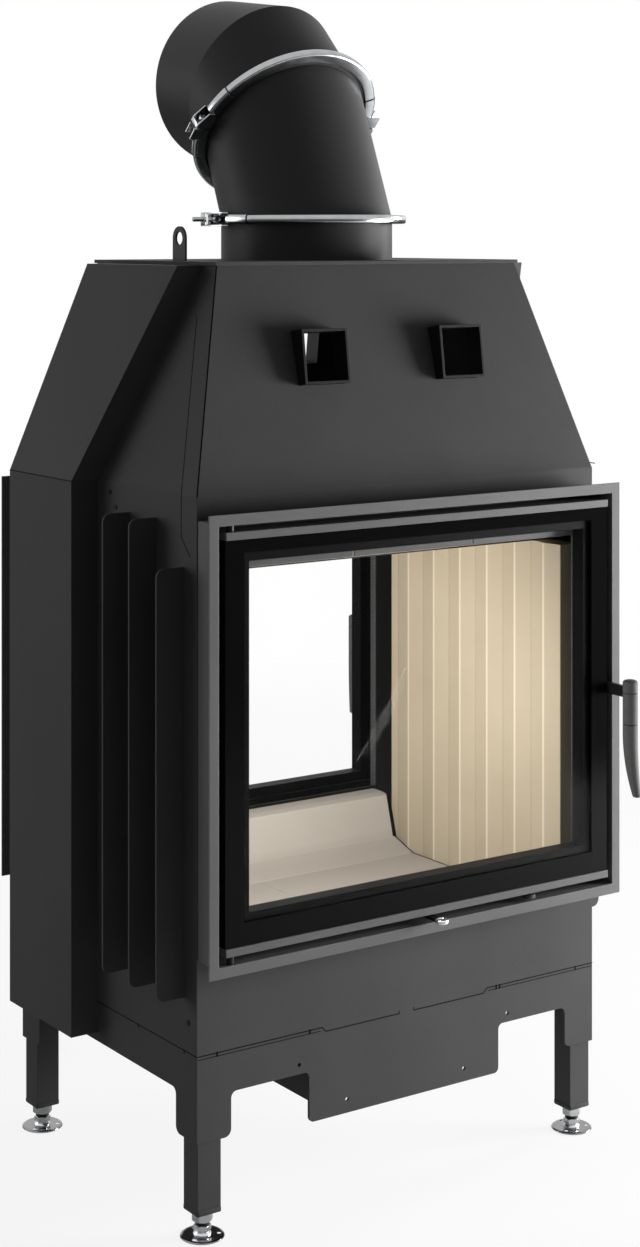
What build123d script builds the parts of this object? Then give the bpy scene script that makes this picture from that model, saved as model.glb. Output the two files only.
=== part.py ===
from build123d import *
import os
from math import cos, radians, sin, tan

# Double-sided fireplace insert: a steel casing on four legs, a glazed door on the
# front and the same door on the back, a swivel flue elbow on top.
# Millimetres, +Z up, origin on the floor under the middle of the casing.
# The front faces -Y. The rear sheets are the front ones turned half round about Z,
# the rear door is the front one mirrored, so both doors have their hinges at -X.

# Casing: its sheets, and how far a cut runs past the faces it goes through
body_width = 540.0
body_depth = 390.0
sheet = 3.0
skirt_bottom_z = 150.0
seam_z = 194.0
crease_z = 772.0
top_z = 1014.0
hood_lean = 64.0
hood_return = 31.0
side_return = 13.5
tab_height = 44.0
tab_bevel = 19.0
tongue_half = 108.0
tongue_drop = 5.0
mouth_margin = 30.0
mouth_bottom_rise = 32.5
mouth_top_drop = 23.5
corner_slit = 1.2
weld_gap = 0.05
past = 1.0

# Top plate and lifting eye
plate_thick = 4.0
plate_overhang = 2.5
eye_inset = 29.5
eye_y = -6.0
eye_width = 27.0
eye_height = 38.6
eye_thick = 2.5
eye_hole_r = 7.5

# Flue: stub, leaning lower segment, tilted ring, mitred outlet
flue_r = 100.0
flue_wall = 2.0
stub_height = 46.6
lip_reach = 8.0
lip_thick = 3.0
swivel_gap = 0.4
lean_deg = 22.5
segment_run = 121.7
gore_run = 66.0
outlet_deg = 82.5
outlet_run = 84.0
socket_length = 40.0
socket_relief = 0.6
band_reach = 8.5
band_wall = 1.3
band_lip_gap = 3.0
band_clear = 0.5
lug_reach = 18.0
lug_half = 6.5
lug_thick = 2.5
lug_gap = 8.0
clamp_bolt_r = 3.0
clamp_bolt_length = 36.0
bolt_head_r = 5.0
bolt_head_thick = 4.0
bolt_nut_r = 5.5
bolt_nut_thick = 5.0
lower_lug_deg = 166.0

# Hood air nozzles
nozzle_size = 60.0
nozzle_wall = 3.0
nozzle_reach = 17.4
nozzle_inside = 8.0
nozzle_tilt_deg = 7.5
nozzle_x = 93.4
nozzle_drop = 100.5

# Side ducts and fins
duct_reach = 33.0
duct_rear_gap = 32.0
duct_width = 148.0
duct_bottom_z = 160.0
duct_top_rear_gap = 36.0
duct_top_width = 199.4
duct_sheet = 2.0
duct_port_drop = 21.0
duct_port_height = 60.0
duct_port_margin = 12.0
fin_reach = 33.0
fin_thick = 2.5
fin_front_gap = 27.0
fin_pitch = 56.5
fin_count = 3
fin_bottom_rise = 55.0
fin_top_drop = 29.0
fin_short_drop = 46.0
fin_corner_r = 9.0

# Door surround
surround_depth = 38.0
surround_wall = 2.0
surround_inset = 3.0
surround_bottom_rise = 101.5
surround_top_drop = 26.5
flange_width = 11.5

# Door
door_side_gap = 8.0
door_bottom_gap = 9.3
door_top_gap = 6.8
rail_height = 8.1
rail_proud = 1.5
door_depth = 29.7
glass_thick = 4.0
glass_set_back = 1.9
glass_gap = 0.3
stile_thick = 19.0
stile_width = 31.7
bottom_stile_height = 40.2
top_stile_height = 31.7
stile_step = 12.0
seal_size = 9.6
seal_inset = 9.0
seal_gap = 0.3
hinge_inset = 9.0
hinge_set_back = 7.0
hinge_pin_r = 4.0
hinge_pin_out = 2.5
running_gap = 0.05
strip_height = 15.0
strip_thick = 2.0
strip_overlap = 9.4
strip_gap = 2.0
strip_middle_half = 81.5
strip_side_lap = 8.0

# Door handle: a flat lever beside the door, hooked behind a keeper pin
lever_gap = 0.8
lever_thick = 5.2
lever_half = 6.3
lever_rise = 217.2
pivot_set_back = 14.0
pivot_r = 3.0
pivot_in = 9.0
keeper_set_back = 15.0
keeper_r = 3.0
keeper_gap = 0.6
keeper_clear = 0.9
hook_thick = 5.0
hook_top = 5.0
hook_neck = 8.0
grip_out = 35.0
grip_r = 7.85
grip_end_r = 4.0
grip_above = 17.0
grip_length = 128.0
grip_sweep = 9.0
grip_straight = 0.45
grip_sections = 4
pivot_proud = 1.0

# Air slides under the door
slide_rise = 4.7
slide_thick = 3.0
slide_width = 9.0
knob_r = 7.5
knob_thick = 5.0
slide_main_x = 8.0
slide_main_proud = 15.0
slide_second_x = 147.0
slide_second_recess = 5.5
slide_travel = 30.0
slide_gap = 0.3
shutter_width = 70.0
shutter_height = 26.0
shutter_thick = 2.0

# Firebox lining
floor_plate_rise = 28.0
floor_plate_thick = 4.0
brick_thick = 36.0
curb_rise = 64.5
curb_slope_run = 14.0
curb_toe_run = 40.0
curb_toe_rise = 13.0
curb_top_width = 20.0
curb_bevel_run = 12.0
curb_bevel_drop = 2.0
curb_back_gap = 6.0
lining_wall_gap = 6.0
lining_rib = 4.0
lining_base = 25.0
lining_near_gap = 14.0
lining_far_gap = 42.0
lining_top_drop = 90.0
rib_pitch = 52.7
rib_crest_r = 4.0
brick_gap = 1.0
curb_side_gap = 1.0
baffle_end_gap = 42.0
baffle_thick = 25.0
baffle_joint = 1.0
rest_width = 30.0
rest_thick = 5.0
rest_inset = 35.0

# Base, apron and legs
base_plate = 3.4
gusset_width = 42.0
gusset_drop = 86.9
gusset_corner_r = 8.0
gusset_root_r = 7.0
apron_half = 129.6
apron_drop = 95.0
apron_corner_r = 6.0
apron_root_r = 6.0
box_height = 71.8
box_depth = 260.0
inlet_r = 50.0
inlet_wall = 1.5
inlet_reach = 20.0
base_hole_r = 2.2
upper_hole_x = 142.5
upper_hole_drop = 30.6
lower_hole_x = 80.0
lower_hole_drop = 80.3
leg_size = 28.0
leg_wall = 2.0
leg_bottom_z = 29.7
leg_cap = 4.0

# Levelling feet
stud_r = 5.0
stud_above = 24.0
disc_r = 23.4
disc_thick = 2.5
boss_r = 10.0
boss_top_z = 14.0
foot_hole_r = 2.25
foot_hole_reach = 17.5
foot_hole_count = 3
foot_hole_deg = 90.0
nut_across = 17.0
nut_thick = 8.0

# Screws in the side walls: two in front of the duct's top, one in the lower front corner
screw_head_r = 2.8
screw_head = 1.0
screw_shank_r = 1.5
near_screw_gap = 28.5
near_screw_drop = 11.0
far_screw_gap = 40.5
far_screw_drop = 26.5
low_screw_gap = 17.0
low_screw_rise = 31.0

# Places that follow from the sizes above: casing and flue
half_w = body_width / 2
half_d = body_depth / 2
hood_top_z = top_z - plate_thick
flue_ring_z = top_z + stub_height
ring_tilt = 2 * lean_deg
lip_r = flue_r + lip_reach
band_r = lip_r + band_reach
band_height = 2 * (lip_thick + swivel_gap / 2 + band_clear + band_wall)
nozzle_z = hood_top_z - nozzle_drop
base_top_z = seam_z
base_under_z = base_top_z - base_plate
mouth_half = half_w - mouth_margin
eye_x = -(half_w - hood_lean - eye_inset)
inlet_y = -half_d + sheet + box_depth / 2
box_side_bottom_z = base_under_z - box_height

# Side ducts, fins and screws
duct_rear_y = half_d - duct_rear_gap
duct_front_y = duct_rear_y - duct_width
duct_top_rear_y = half_d - hood_lean - duct_top_rear_gap
duct_top_front_y = duct_top_rear_y - duct_top_width
duct_port_high_z = hood_top_z - duct_port_drop
duct_port_low_z = duct_port_high_z - duct_port_height
fin_first_y = -half_d + fin_front_gap
fin_bottom_z = seam_z + fin_bottom_rise
fin_top_z = crease_z - fin_top_drop
fin_short_top_z = fin_top_z - fin_short_drop
side_screws = [
    (duct_front_y - near_screw_gap, crease_z - near_screw_drop),
    (duct_front_y - far_screw_gap, crease_z - far_screw_drop),
    (-half_d + low_screw_gap, seam_z + low_screw_rise),
]

# Surround, door and slides
surround_inner_half = half_w - surround_inset
surround_bottom_z = seam_z + surround_bottom_rise
surround_top_z = crease_z - surround_top_drop
mouth_bottom_z = surround_bottom_z + mouth_bottom_rise
mouth_top_z = surround_top_z - mouth_top_drop
flange_y = -half_d - surround_depth
door_half = surround_inner_half - door_side_gap
door_bottom_z = surround_bottom_z + door_bottom_gap
door_top_z = surround_top_z - door_top_gap
door_front_y = flange_y - rail_proud
door_back_y = door_front_y + door_depth
door_window_half = door_half - stile_width
door_window_bottom_z = door_bottom_z + bottom_stile_height
door_window_top_z = door_top_z - top_stile_height
glass_front_y = door_front_y + glass_set_back
stile_front_y = glass_front_y + glass_thick + glass_gap
stile_back_y = stile_front_y + stile_thick
hinge_x = door_half - hinge_inset
hinge_y = door_front_y + hinge_set_back
lever_x = door_half + lever_gap + lever_thick / 2
lever_z = door_bottom_z + lever_rise
pivot_y = door_front_y + pivot_set_back
keeper_y = pivot_y + keeper_set_back
slide_z = surround_bottom_z + slide_rise
slide_main_out = surround_depth + slide_main_proud
slide_second_out = surround_depth - slide_second_recess

# Firebox
floor_plate_z = seam_z + floor_plate_rise
bricks_foot_z = floor_plate_z + floor_plate_thick
hearth_z = bricks_foot_z + brick_thick
curb_top_z = hearth_z + curb_rise
curb_back_y = half_d - sheet - curb_back_gap
curb_head_y = curb_back_y - curb_top_width - curb_bevel_run
curb_toe_y = curb_head_y - curb_slope_run
curb_foot_y = curb_toe_y - curb_toe_run
lining_back_x = half_w - sheet - lining_wall_gap
lining_groove_x = lining_back_x - lining_base
lining_face_x = lining_groove_x - lining_rib
lining_near_y = half_d - sheet - lining_near_gap
lining_far_y = half_d - sheet - lining_far_gap
lining_top_z = crease_z - lining_top_drop
baffle_half_y = half_d - sheet - baffle_end_gap
rest_y = baffle_half_y - rest_inset

# Lower edges of the base
gusset_bottom_z = base_under_z - gusset_drop
apron_bottom_z = base_under_z - apron_drop
base_holes = [
    (upper_hole_x, base_under_z - upper_hole_drop),
    (lower_hole_x, base_under_z - lower_hole_drop),
]


def block(x0, x1, y0, y1, z0, z1):
    """A box between two corners."""
    middle = Pos((x0 + x1) / 2, (y0 + y1) / 2, (z0 + z1) / 2)
    return middle * Box(abs(x1 - x0), abs(y1 - y0), abs(z1 - z0))


def prism_x(points, x0, x1):
    """A (Y, Z) outline pushed along X."""
    plane = Plane(origin=(x0, 0, 0), x_dir=(0, 1, 0), z_dir=(1, 0, 0))
    return extrude(plane * make_face(Polyline(*points, close=True)), amount=x1 - x0)


def prism_y(points, y0, y1):
    """An (X, Z) outline pushed along Y."""
    plane = Plane(origin=(0, y1, 0), x_dir=(1, 0, 0), z_dir=(0, -1, 0))
    return extrude(plane * make_face(Polyline(*points, close=True)), amount=y1 - y0)


def prism_z(points, z0, z1):
    """An (X, Y) outline pushed along Z."""
    plane = Plane(origin=(0, 0, z0), x_dir=(1, 0, 0), z_dir=(0, 0, 1))
    return extrude(plane * make_face(Polyline(*points, close=True)), amount=z1 - z0)


def rod_x(radius, x0, x1, y, z):
    """A round bar along X."""
    return Pos((x0 + x1) / 2, y, z) * Rot(0, 90, 0) * Cylinder(radius, x1 - x0)


def rod_y(radius, y0, y1, x, z):
    """A round bar along Y."""
    return Pos(x, (y0 + y1) / 2, z) * Rot(90, 0, 0) * Cylinder(radius, y1 - y0)


def rod_z(radius, z0, z1, x, y):
    """A round bar along Z."""
    return Pos(x, y, (z0 + z1) / 2) * Cylinder(radius, z1 - z0)


def frustum(inset, z0, z1):
    """The hood's tapered block, drawn in from its outside by an inset."""
    w = body_width - 2 * inset
    d = body_depth - 2 * inset
    low = Plane((0, 0, z0)) * Rectangle(w, d)
    high = Plane((0, 0, z1)) * Rectangle(w - 2 * hood_lean, d - 2 * hood_lean)
    return loft([low.face(), high.face()], ruled=True)


def turned(shape):
    """The same piece on the opposite side, half a turn about Z."""
    return Rot(0, 0, 180) * shape


def mirrored(shape):
    """The same piece mirrored to the other side in X."""
    return mirror(shape, Plane.YZ)


def opposite(shape):
    """The same piece mirrored to the other side in Y."""
    return mirror(shape, Plane.XZ)


def both_sides(shapes):
    """The pieces of the left side with their mirror images."""
    return group(shapes + [mirrored(shape) for shape in shapes])


def group(shapes):
    """Separate solids kept together in one node."""
    return Compound(children=[solid for shape in shapes for solid in shape.solids()])


def save(name, shape):
    solids = shape.solids()
    whole = solids[0] if len(solids) == 1 else Compound(children=list(solids))
    export_step(whole, f"parts/{name}.step")


# Casing sheets

def casing_tube():
    """The four upright walls as one tube."""
    outer = block(-half_w, half_w, -half_d, half_d, seam_z, crease_z)
    inner = block(-half_w + sheet, half_w - sheet, -half_d + sheet, half_d - sheet, seam_z, crease_z)
    return outer - inner


def end_zone():
    """The part of the upright walls that belongs to the front sheet, with its upper tab."""
    y0 = -half_d - past
    y1 = -half_d + side_return
    y2 = -half_d + hood_return
    tab_z = crease_z - tab_height
    outline = [(y0, seam_z), (y1, seam_z), (y1, tab_z - tab_bevel), (y2, tab_z), (y2, crease_z), (y0, crease_z)]
    return prism_x(outline, -half_w - past, half_w + past)


def hood_shell():
    return frustum(0, crease_z, hood_top_z) - frustum(sheet, crease_z, hood_top_z)


def hood_end_zone():
    """The part of the hood that belongs to the front sheet, with its side returns."""
    y0 = -half_d - past
    outline = [
        (y0, crease_z),
        (-half_d + hood_return, crease_z),
        (-half_d + hood_return + hood_lean, hood_top_z),
        (y0 + hood_lean, hood_top_z),
    ]
    return prism_x(outline, -half_w - past, half_w + past)


def seam_tongue(grow, y0, y1):
    """The low middle stretch of the seam between casing and base."""
    half = tongue_half + grow
    low = seam_z - tongue_drop - grow
    outline = [(-half - tongue_drop, seam_z), (-half, low), (half, low), (half + tongue_drop, seam_z)]
    return prism_y(outline, y0, y1)


def slide_slot(x):
    """The slot in the front sheet that one air slide runs in."""
    half = slide_travel + slide_width / 2 + slide_gap
    low = slide_z - slide_thick / 2 - slide_gap
    high = slide_z + slide_thick / 2 + slide_gap
    return block(x - half, x + half, -half_d - past, -half_d + sheet + past, low, high)


def end_panel(with_slots):
    panel = casing_tube() & end_zone()
    panel -= block(-mouth_half, mouth_half, -half_d - past, -half_d + sheet + past, mouth_bottom_z, mouth_top_z)
    panel += seam_tongue(0, -half_d, -half_d + sheet)
    if with_slots:
        panel -= slide_slot(slide_main_x)
        panel -= slide_slot(slide_second_x)
    return panel


def nozzle_plane():
    """A plane square to the nozzles' axes, through the point where they leave the hood."""
    tilt = radians(nozzle_tilt_deg)
    share = (nozzle_z - crease_z) / (hood_top_z - crease_z)
    start = (0, -half_d + hood_lean * share, nozzle_z)
    return Plane(origin=start, x_dir=(1, 0, 0), z_dir=(0, -cos(tilt), sin(tilt)))


def nozzle_block(x, size, low, high):
    return extrude(nozzle_plane().offset(low) * Pos(x, 0) * Rectangle(size, size), amount=high - low)


def end_hood():
    hood = hood_shell() & hood_end_zone()
    for x in (-nozzle_x, nozzle_x):
        hood -= nozzle_block(x, nozzle_size + 2 * weld_gap, -nozzle_reach, nozzle_reach)
    for side in (-1, 1):
        foot = Plane((side * half_w, -half_d, crease_z)) * Rectangle(corner_slit, corner_slit)
        head = Plane((side * (half_w - hood_lean), -half_d + hood_lean, hood_top_z))
        head = head * Rectangle(corner_slit, corner_slit)
        hood -= loft([foot.face(), head.face()], ruled=True)
    return hood


def nozzles():
    tubes = []
    for x in (-nozzle_x, nozzle_x):
        outer = nozzle_block(x, nozzle_size, -nozzle_inside, nozzle_reach)
        bore = nozzle_block(x, nozzle_size - 2 * nozzle_wall, -nozzle_inside - past, nozzle_reach + past)
        tubes.append(outer - bore)
    return group(tubes + [turned(tube) for tube in tubes])


def side_wall():
    """The left upright wall, between the front and rear sheets."""
    wall = casing_tube() - end_zone() - turned(end_zone())
    wall &= block(-half_w - past, 0, -half_d, half_d, seam_z, crease_z)
    for y, z in side_screws:
        wall -= rod_x(screw_shank_r, -half_w - past, -half_w + sheet + past, y, z)
    return wall


def side_hood():
    """The left slope of the hood, with the port where the duct's air comes in."""
    shell = hood_shell() - hood_end_zone() - turned(hood_end_zone())
    slope = shell & block(-half_w - past, 0, -half_d, half_d, crease_z, hood_top_z)
    port_front_y = (duct_front_y + duct_top_front_y) / 2
    return slope - block(-half_w, 0, port_front_y, duct_top_rear_y - duct_port_margin,
                         duct_port_low_z, duct_port_high_z)


def screws():
    made = []
    for y, z in side_screws:
        head = rod_x(screw_head_r, -half_w - screw_head, -half_w, y, z)
        made.append(head + rod_x(screw_shank_r, -half_w, -half_w + sheet, y, z))
    return both_sides(made)


def top_plate():
    w = body_width - 2 * hood_lean + 2 * plate_overhang
    d = body_depth - 2 * hood_lean + 2 * plate_overhang
    plate = block(-w / 2, w / 2, -d / 2, d / 2, hood_top_z, top_z)
    return plate - rod_z(flue_r + weld_gap, hood_top_z - past, top_z + past, 0, 0)


def lifting_eye():
    half = eye_width / 2
    centre_z = top_z + eye_height - half
    plate = block(eye_x - eye_thick / 2, eye_x + eye_thick / 2, eye_y - half, eye_y + half, top_z, centre_z)
    plate += rod_x(half, eye_x - eye_thick / 2, eye_x + eye_thick / 2, eye_y, centre_z)
    return plate - rod_x(eye_hole_r, eye_x - eye_thick, eye_x + eye_thick, eye_y, centre_z)


# Side ducts and fins

def duct_block(inset):
    """The solid shape of the left duct, drawn in by an inset."""
    reach = duct_reach - inset
    y0 = duct_front_y + inset
    y1 = duct_rear_y - inset
    low = block(-half_w - reach, -half_w, y0, y1, duct_bottom_z + inset, crease_z)
    top = hood_top_z - inset
    lean = hood_lean * (top - crease_z) / (hood_top_z - crease_z)
    foot = Plane((-half_w - reach / 2 + hood_lean / 2, (y0 + y1) / 2, crease_z))
    foot = foot * Rectangle(reach + hood_lean, y1 - y0)
    top_y0 = duct_top_front_y + inset
    top_y1 = duct_top_rear_y - inset
    head = Plane((-half_w + lean - reach / 2 + hood_lean / 2, (top_y0 + top_y1) / 2, top))
    head = head * Rectangle(reach + hood_lean, top_y1 - top_y0)
    high = loft([foot.face(), head.face()], ruled=True) - frustum(0, crease_z, hood_top_z)
    return low + high


def side_duct():
    """A folded channel on the casing wall, open at its foot for the room air it carries up."""
    foot = block(-half_w - duct_reach + duct_sheet, -half_w, duct_front_y + duct_sheet, duct_rear_y - duct_sheet,
                 duct_bottom_z - past, duct_bottom_z + 2 * duct_sheet)
    return duct_block(0) - duct_block(duct_sheet) - foot


def side_fins():
    fins = []
    for index in range(fin_count):
        y = fin_first_y + index * fin_pitch
        top = fin_short_top_z if index == 0 else fin_top_z
        fin = block(-half_w - fin_reach, -half_w, y - fin_thick / 2, y + fin_thick / 2, fin_bottom_z, top)
        corners = fin.edges().filter_by(Axis.Y).group_by(Axis.X)[0]
        fins.append(fillet(corners, fin_corner_r))
    return both_sides(fins)


# Door surround

def surround():
    """The neck round the door and its outward flange, with holes for the hinge pins."""
    half = surround_inner_half
    neck = block(-half - surround_wall, half + surround_wall, flange_y, -half_d,
                 surround_bottom_z - surround_wall, surround_top_z + surround_wall)
    flange = block(-half - flange_width, half + flange_width, flange_y, flange_y + surround_wall,
                   surround_bottom_z - flange_width, surround_top_z + flange_width)
    frame = neck + flange
    frame -= block(-half, half, flange_y - past, past - half_d, surround_bottom_z, surround_top_z)
    pin_hole = hinge_pin_r + running_gap
    pin_end = surround_wall + 2 * hinge_pin_out
    frame -= rod_z(pin_hole, surround_bottom_z - pin_end, surround_top_z + pin_end, -hinge_x, hinge_y)
    frame -= rod_x(keeper_r + weld_gap, half - past, half + 2 * surround_wall, keeper_y, lever_z)
    return frame


def keeper():
    """The pin that the handle's hook closes behind."""
    return rod_x(keeper_r, lever_x - lever_thick / 2, surround_inner_half + surround_wall, keeper_y, lever_z)


# Door

def door_rails():
    rails = []
    for low in (door_bottom_z, door_top_z - rail_height):
        rail = block(-door_half, door_half, door_front_y, door_back_y, low, low + rail_height)
        rail -= rod_z(hinge_pin_r + weld_gap / 2, low - past, low + rail_height + past, -hinge_x, hinge_y)
        rails.append(rail)
    return group(rails)


def hinge_pins():
    top = rod_z(hinge_pin_r, door_top_z - rail_height, surround_top_z + surround_wall + hinge_pin_out,
                -hinge_x, hinge_y)
    bottom = rod_z(hinge_pin_r, surround_bottom_z - surround_wall - hinge_pin_out,
                   door_bottom_z + rail_height, -hinge_x, hinge_y)
    return group([top, bottom])


def door_frame():
    """The steel ring behind the glass, thin round the window and stepped at the back."""
    low = door_bottom_z + rail_height
    high = door_top_z - rail_height
    ring = block(-door_half, door_half, stile_front_y, door_back_y, low, high)
    ring -= block(-door_window_half, door_window_half, stile_front_y - past, door_back_y + past,
                  door_window_bottom_z, door_window_top_z)
    step = door_window_half + stile_step
    ring -= block(-step, step, stile_back_y, door_back_y + past,
                  door_window_bottom_z - stile_step, door_window_top_z + stile_step)
    return ring - rod_x(pivot_r + weld_gap, door_half - pivot_in, door_half + past, pivot_y, lever_z)


def door_glass():
    low = door_bottom_z + rail_height + glass_gap
    high = door_top_z - rail_height - glass_gap
    return block(-door_half, door_half, glass_front_y, glass_front_y + glass_thick, low, high)


def door_seal():
    half = door_half - seal_inset
    low = door_bottom_z + rail_height + past
    high = door_top_z - rail_height - past
    ring = block(-half, half, door_back_y, -half_d - seal_gap, low, high)
    return ring - block(-half + seal_size, half - seal_size, door_back_y - past, -half_d,
                        low + seal_size, high - seal_size)


def glass_strips():
    """Three pressing strips along the top of the glass, behind the frame."""
    low = door_window_top_z - strip_overlap
    ends = [(-door_window_half - strip_side_lap, -strip_middle_half - strip_gap / 2),
            (-strip_middle_half + strip_gap / 2, strip_middle_half - strip_gap / 2),
            (strip_middle_half + strip_gap / 2, door_window_half + strip_side_lap)]
    return group([block(x0, x1, stile_back_y, stile_back_y + strip_thick, low, low + strip_height)
                  for x0, x1 in ends])


def handle_pivot():
    return rod_x(pivot_r, door_half - pivot_in, lever_x + lever_thick / 2 + pivot_proud, pivot_y, lever_z)


def handle_lever():
    """A flat bar on the pivot: hook at the back, stem to the grip at the front."""
    low_top = lever_z - keeper_r - keeper_clear
    hook_y = keeper_y + keeper_r + keeper_gap
    neck_y = pivot_y + hook_neck
    grip_y = door_front_y - grip_out
    outline = [
        (grip_y, lever_z - lever_half),
        (hook_y + hook_thick, lever_z - lever_half),
        (hook_y + hook_thick, lever_z + hook_top),
        (hook_y, lever_z + hook_top),
        (hook_y, low_top),
        (neck_y, low_top),
        (neck_y, lever_z + lever_half),
        (grip_y, lever_z + lever_half),
    ]
    lever = prism_x(outline, lever_x - lever_thick / 2, lever_x + lever_thick / 2)
    lever -= rod_x(pivot_r + running_gap, lever_x - lever_thick, lever_x + lever_thick, pivot_y, lever_z)
    return lever - rod_z(grip_r, lever_z - 2 * lever_half, lever_z + 2 * lever_half, lever_x, grip_y)


def grip_section(share):
    """The grip's round section at a share of its length below its top."""
    bend = max(0.0, (share - grip_straight) / (1 - grip_straight))
    top = lever_z + grip_above
    y = door_front_y - grip_out - grip_sweep * bend ** 2
    radius = grip_r - (grip_r - grip_end_r) * bend ** 1.5
    return (Plane((lever_x, y, top - share * grip_length)) * Circle(radius)).face()


def handle_grip():
    """A round grip, straight at the top, tapered and swept out towards its lower end."""
    straight = loft([grip_section(0), grip_section(grip_straight)], ruled=True)
    rest = 1 - grip_straight
    shares = [grip_straight + rest * index / (grip_sections - 1) for index in range(grip_sections)]
    return straight + loft([grip_section(share) for share in shares])


# Air slides

def slide_plate(x, out):
    """The flat rod and the shutter plate behind the front sheet."""
    y0 = -half_d - out
    y1 = -half_d + sheet + slide_gap
    rod = block(x - slide_width / 2, x + slide_width / 2, y0, y1 + shutter_thick,
                slide_z - slide_thick / 2, slide_z + slide_thick / 2)
    return rod + block(x - shutter_width / 2, x + shutter_width / 2, y1, y1 + shutter_thick,
                       slide_z - shutter_height / 2, slide_z + shutter_height / 2)


def slide_knob(x, out):
    y = -half_d - out
    knob = rod_z(knob_r, slide_z - knob_thick / 2, slide_z + knob_thick / 2, x, y)
    return knob - block(x - slide_width / 2, x + slide_width / 2, y, y + 2 * knob_r,
                        slide_z - slide_thick / 2, slide_z + slide_thick / 2)


# Firebox

def floor_plate():
    return block(-half_w + sheet, half_w - sheet, -half_d + sheet, half_d - sheet,
                 floor_plate_z, floor_plate_z + floor_plate_thick)


def floor_bricks():
    half_x = lining_face_x - curb_side_gap
    bricks = []
    for side_x in (-1, 1):
        for side_y in (-1, 1):
            bricks.append(block(side_x * brick_gap / 2, side_x * half_x,
                                side_y * brick_gap / 2, side_y * (curb_foot_y - brick_gap), bricks_foot_z, hearth_z))
    return group(bricks)


def hearth_curbs():
    """A steep block along each door, with a low sloped toe on the hearth."""
    low = bricks_foot_z
    back = curb_back_y
    half_x = lining_face_x - curb_side_gap
    shoulder_z = curb_top_z - curb_bevel_drop
    profile = [
        (back, low), (back, curb_top_z), (curb_head_y + curb_bevel_run, curb_top_z),
        (curb_head_y, shoulder_z), (curb_toe_y, hearth_z + curb_toe_rise),
        (curb_foot_y, hearth_z), (curb_foot_y, low),
    ]
    curb = prism_x(profile, -half_x, half_x)
    return group([curb, turned(curb)])


def rib_face_x(y):
    """Where the ribbed face lies: a groove at the near end, then a crest every pitch."""
    return lining_face_x + lining_rib * abs(2 * (y + lining_near_y) / rib_pitch % 2 - 1)


def side_lining():
    """The right panel: a row of shallow upright ribs on a flat back."""
    half_pitch = rib_pitch / 2
    turns = int((lining_near_y + lining_far_y - rib_crest_r) / half_pitch)
    rows = [-lining_near_y + index * half_pitch for index in range(turns + 1)] + [lining_far_y]
    back = [(lining_back_x, lining_far_y), (lining_back_x, -lining_near_y)]
    panel = prism_z(back + [(rib_face_x(y), y) for y in rows], bricks_foot_z, lining_top_z)
    crests = panel.edges().filter_by(Axis.Z).group_by(Axis.X)[0]
    return fillet(crests, rib_crest_r)


def baffle_rests():
    """Two flat bars lying across the linings under the baffle boards."""
    top = lining_top_z + rest_thick
    bar = block(-lining_back_x, lining_back_x, -rest_y - rest_width / 2, -rest_y + rest_width / 2, lining_top_z, top)
    return group([bar, turned(bar)])


def baffle_boards():
    """Three loose boards side by side on the rests."""
    step = 2 * lining_back_x / 3
    low = lining_top_z + rest_thick
    boards = []
    for index in range(3):
        x0 = -lining_back_x + index * step + (baffle_joint / 2 if index else 0)
        x1 = -lining_back_x + (index + 1) * step - (baffle_joint / 2 if index < 2 else 0)
        boards.append(block(x0, x1, -baffle_half_y, baffle_half_y, low, low + baffle_thick))
    return group(boards)


# Base and legs

def rounded_outline(points, radii):
    """A closed outline with rounded corners."""
    face = make_face(Polyline(*points, close=True))
    for (x, y), radius in zip(points, radii):
        if radius:
            corner = face.vertices().sort_by_distance((x, y, 0))[0]
            face = fillet(corner, radius)
    return face


def skirt_outline(half, with_apron):
    """The lower edge of one skirt: gussets at the ends and, in front, the apron."""
    inner = half - gusset_width
    top = base_under_z
    left = [(-half, top), (-half, gusset_bottom_z), (-inner, gusset_bottom_z), (-inner, skirt_bottom_z)]
    radii = [0, 0, gusset_corner_r, gusset_root_r]
    if with_apron:
        left += [(-apron_half, skirt_bottom_z), (-apron_half, apron_bottom_z)]
        radii += [apron_root_r, apron_corner_r]
    right = [(-x, z) for x, z in reversed(left)]
    return rounded_outline(left + right, radii + radii[::-1])


def base_skirt(half, with_apron, distance, holes):
    """One skirt sheet standing at a distance in front of the middle."""
    plane = Plane(origin=(0, -distance, 0), x_dir=(1, 0, 0), z_dir=(0, -1, 0))
    skirt = extrude(plane * skirt_outline(half, with_apron), amount=-sheet)
    for x, z in holes:
        skirt -= rod_y(base_hole_r, -distance - past, -distance + sheet + past, x, z)
    return skirt


def base_frame():
    """The base plate with its four skirts and corner gussets, welded as one."""
    front_holes = base_holes + [(-x, z) for x, z in base_holes]
    frame = block(-half_w, half_w, -half_d, half_d, base_under_z, base_top_z)
    frame += base_skirt(half_w, True, half_d, front_holes)
    frame += turned(base_skirt(half_w, False, half_d, []))
    side = Rot(0, 0, -90) * base_skirt(half_d, False, half_w, [])
    frame += side + turned(side)
    notch = seam_tongue(weld_gap, -half_d - past, -half_d + sheet + weld_gap)
    frame -= rod_z(inlet_r - inlet_wall, base_under_z - past, base_top_z + past, 0, inlet_y)
    return frame - notch - turned(notch)


def air_box():
    """The folded channel behind the apron, with the air inlet collar under it."""
    top = base_under_z
    y0 = -half_d + sheet
    y1 = y0 + box_depth
    box = block(-apron_half, apron_half, y0, y1, box_side_bottom_z, top)
    box -= block(-apron_half + duct_sheet, apron_half - duct_sheet, y0 - past, y1 - duct_sheet,
                 box_side_bottom_z + duct_sheet, top + past)
    low = box_side_bottom_z - inlet_reach
    box += rod_z(inlet_r, low, box_side_bottom_z, 0, inlet_y)
    return box - rod_z(inlet_r - inlet_wall, low - past, box_side_bottom_z + duct_sheet + past, 0, inlet_y)


def leg_centres():
    offset = sheet + leg_size / 2
    x = half_w - offset
    y = half_d - offset
    return {"front_left": (-x, -y), "front_right": (x, -y), "rear_left": (-x, y), "rear_right": (x, y)}


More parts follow.
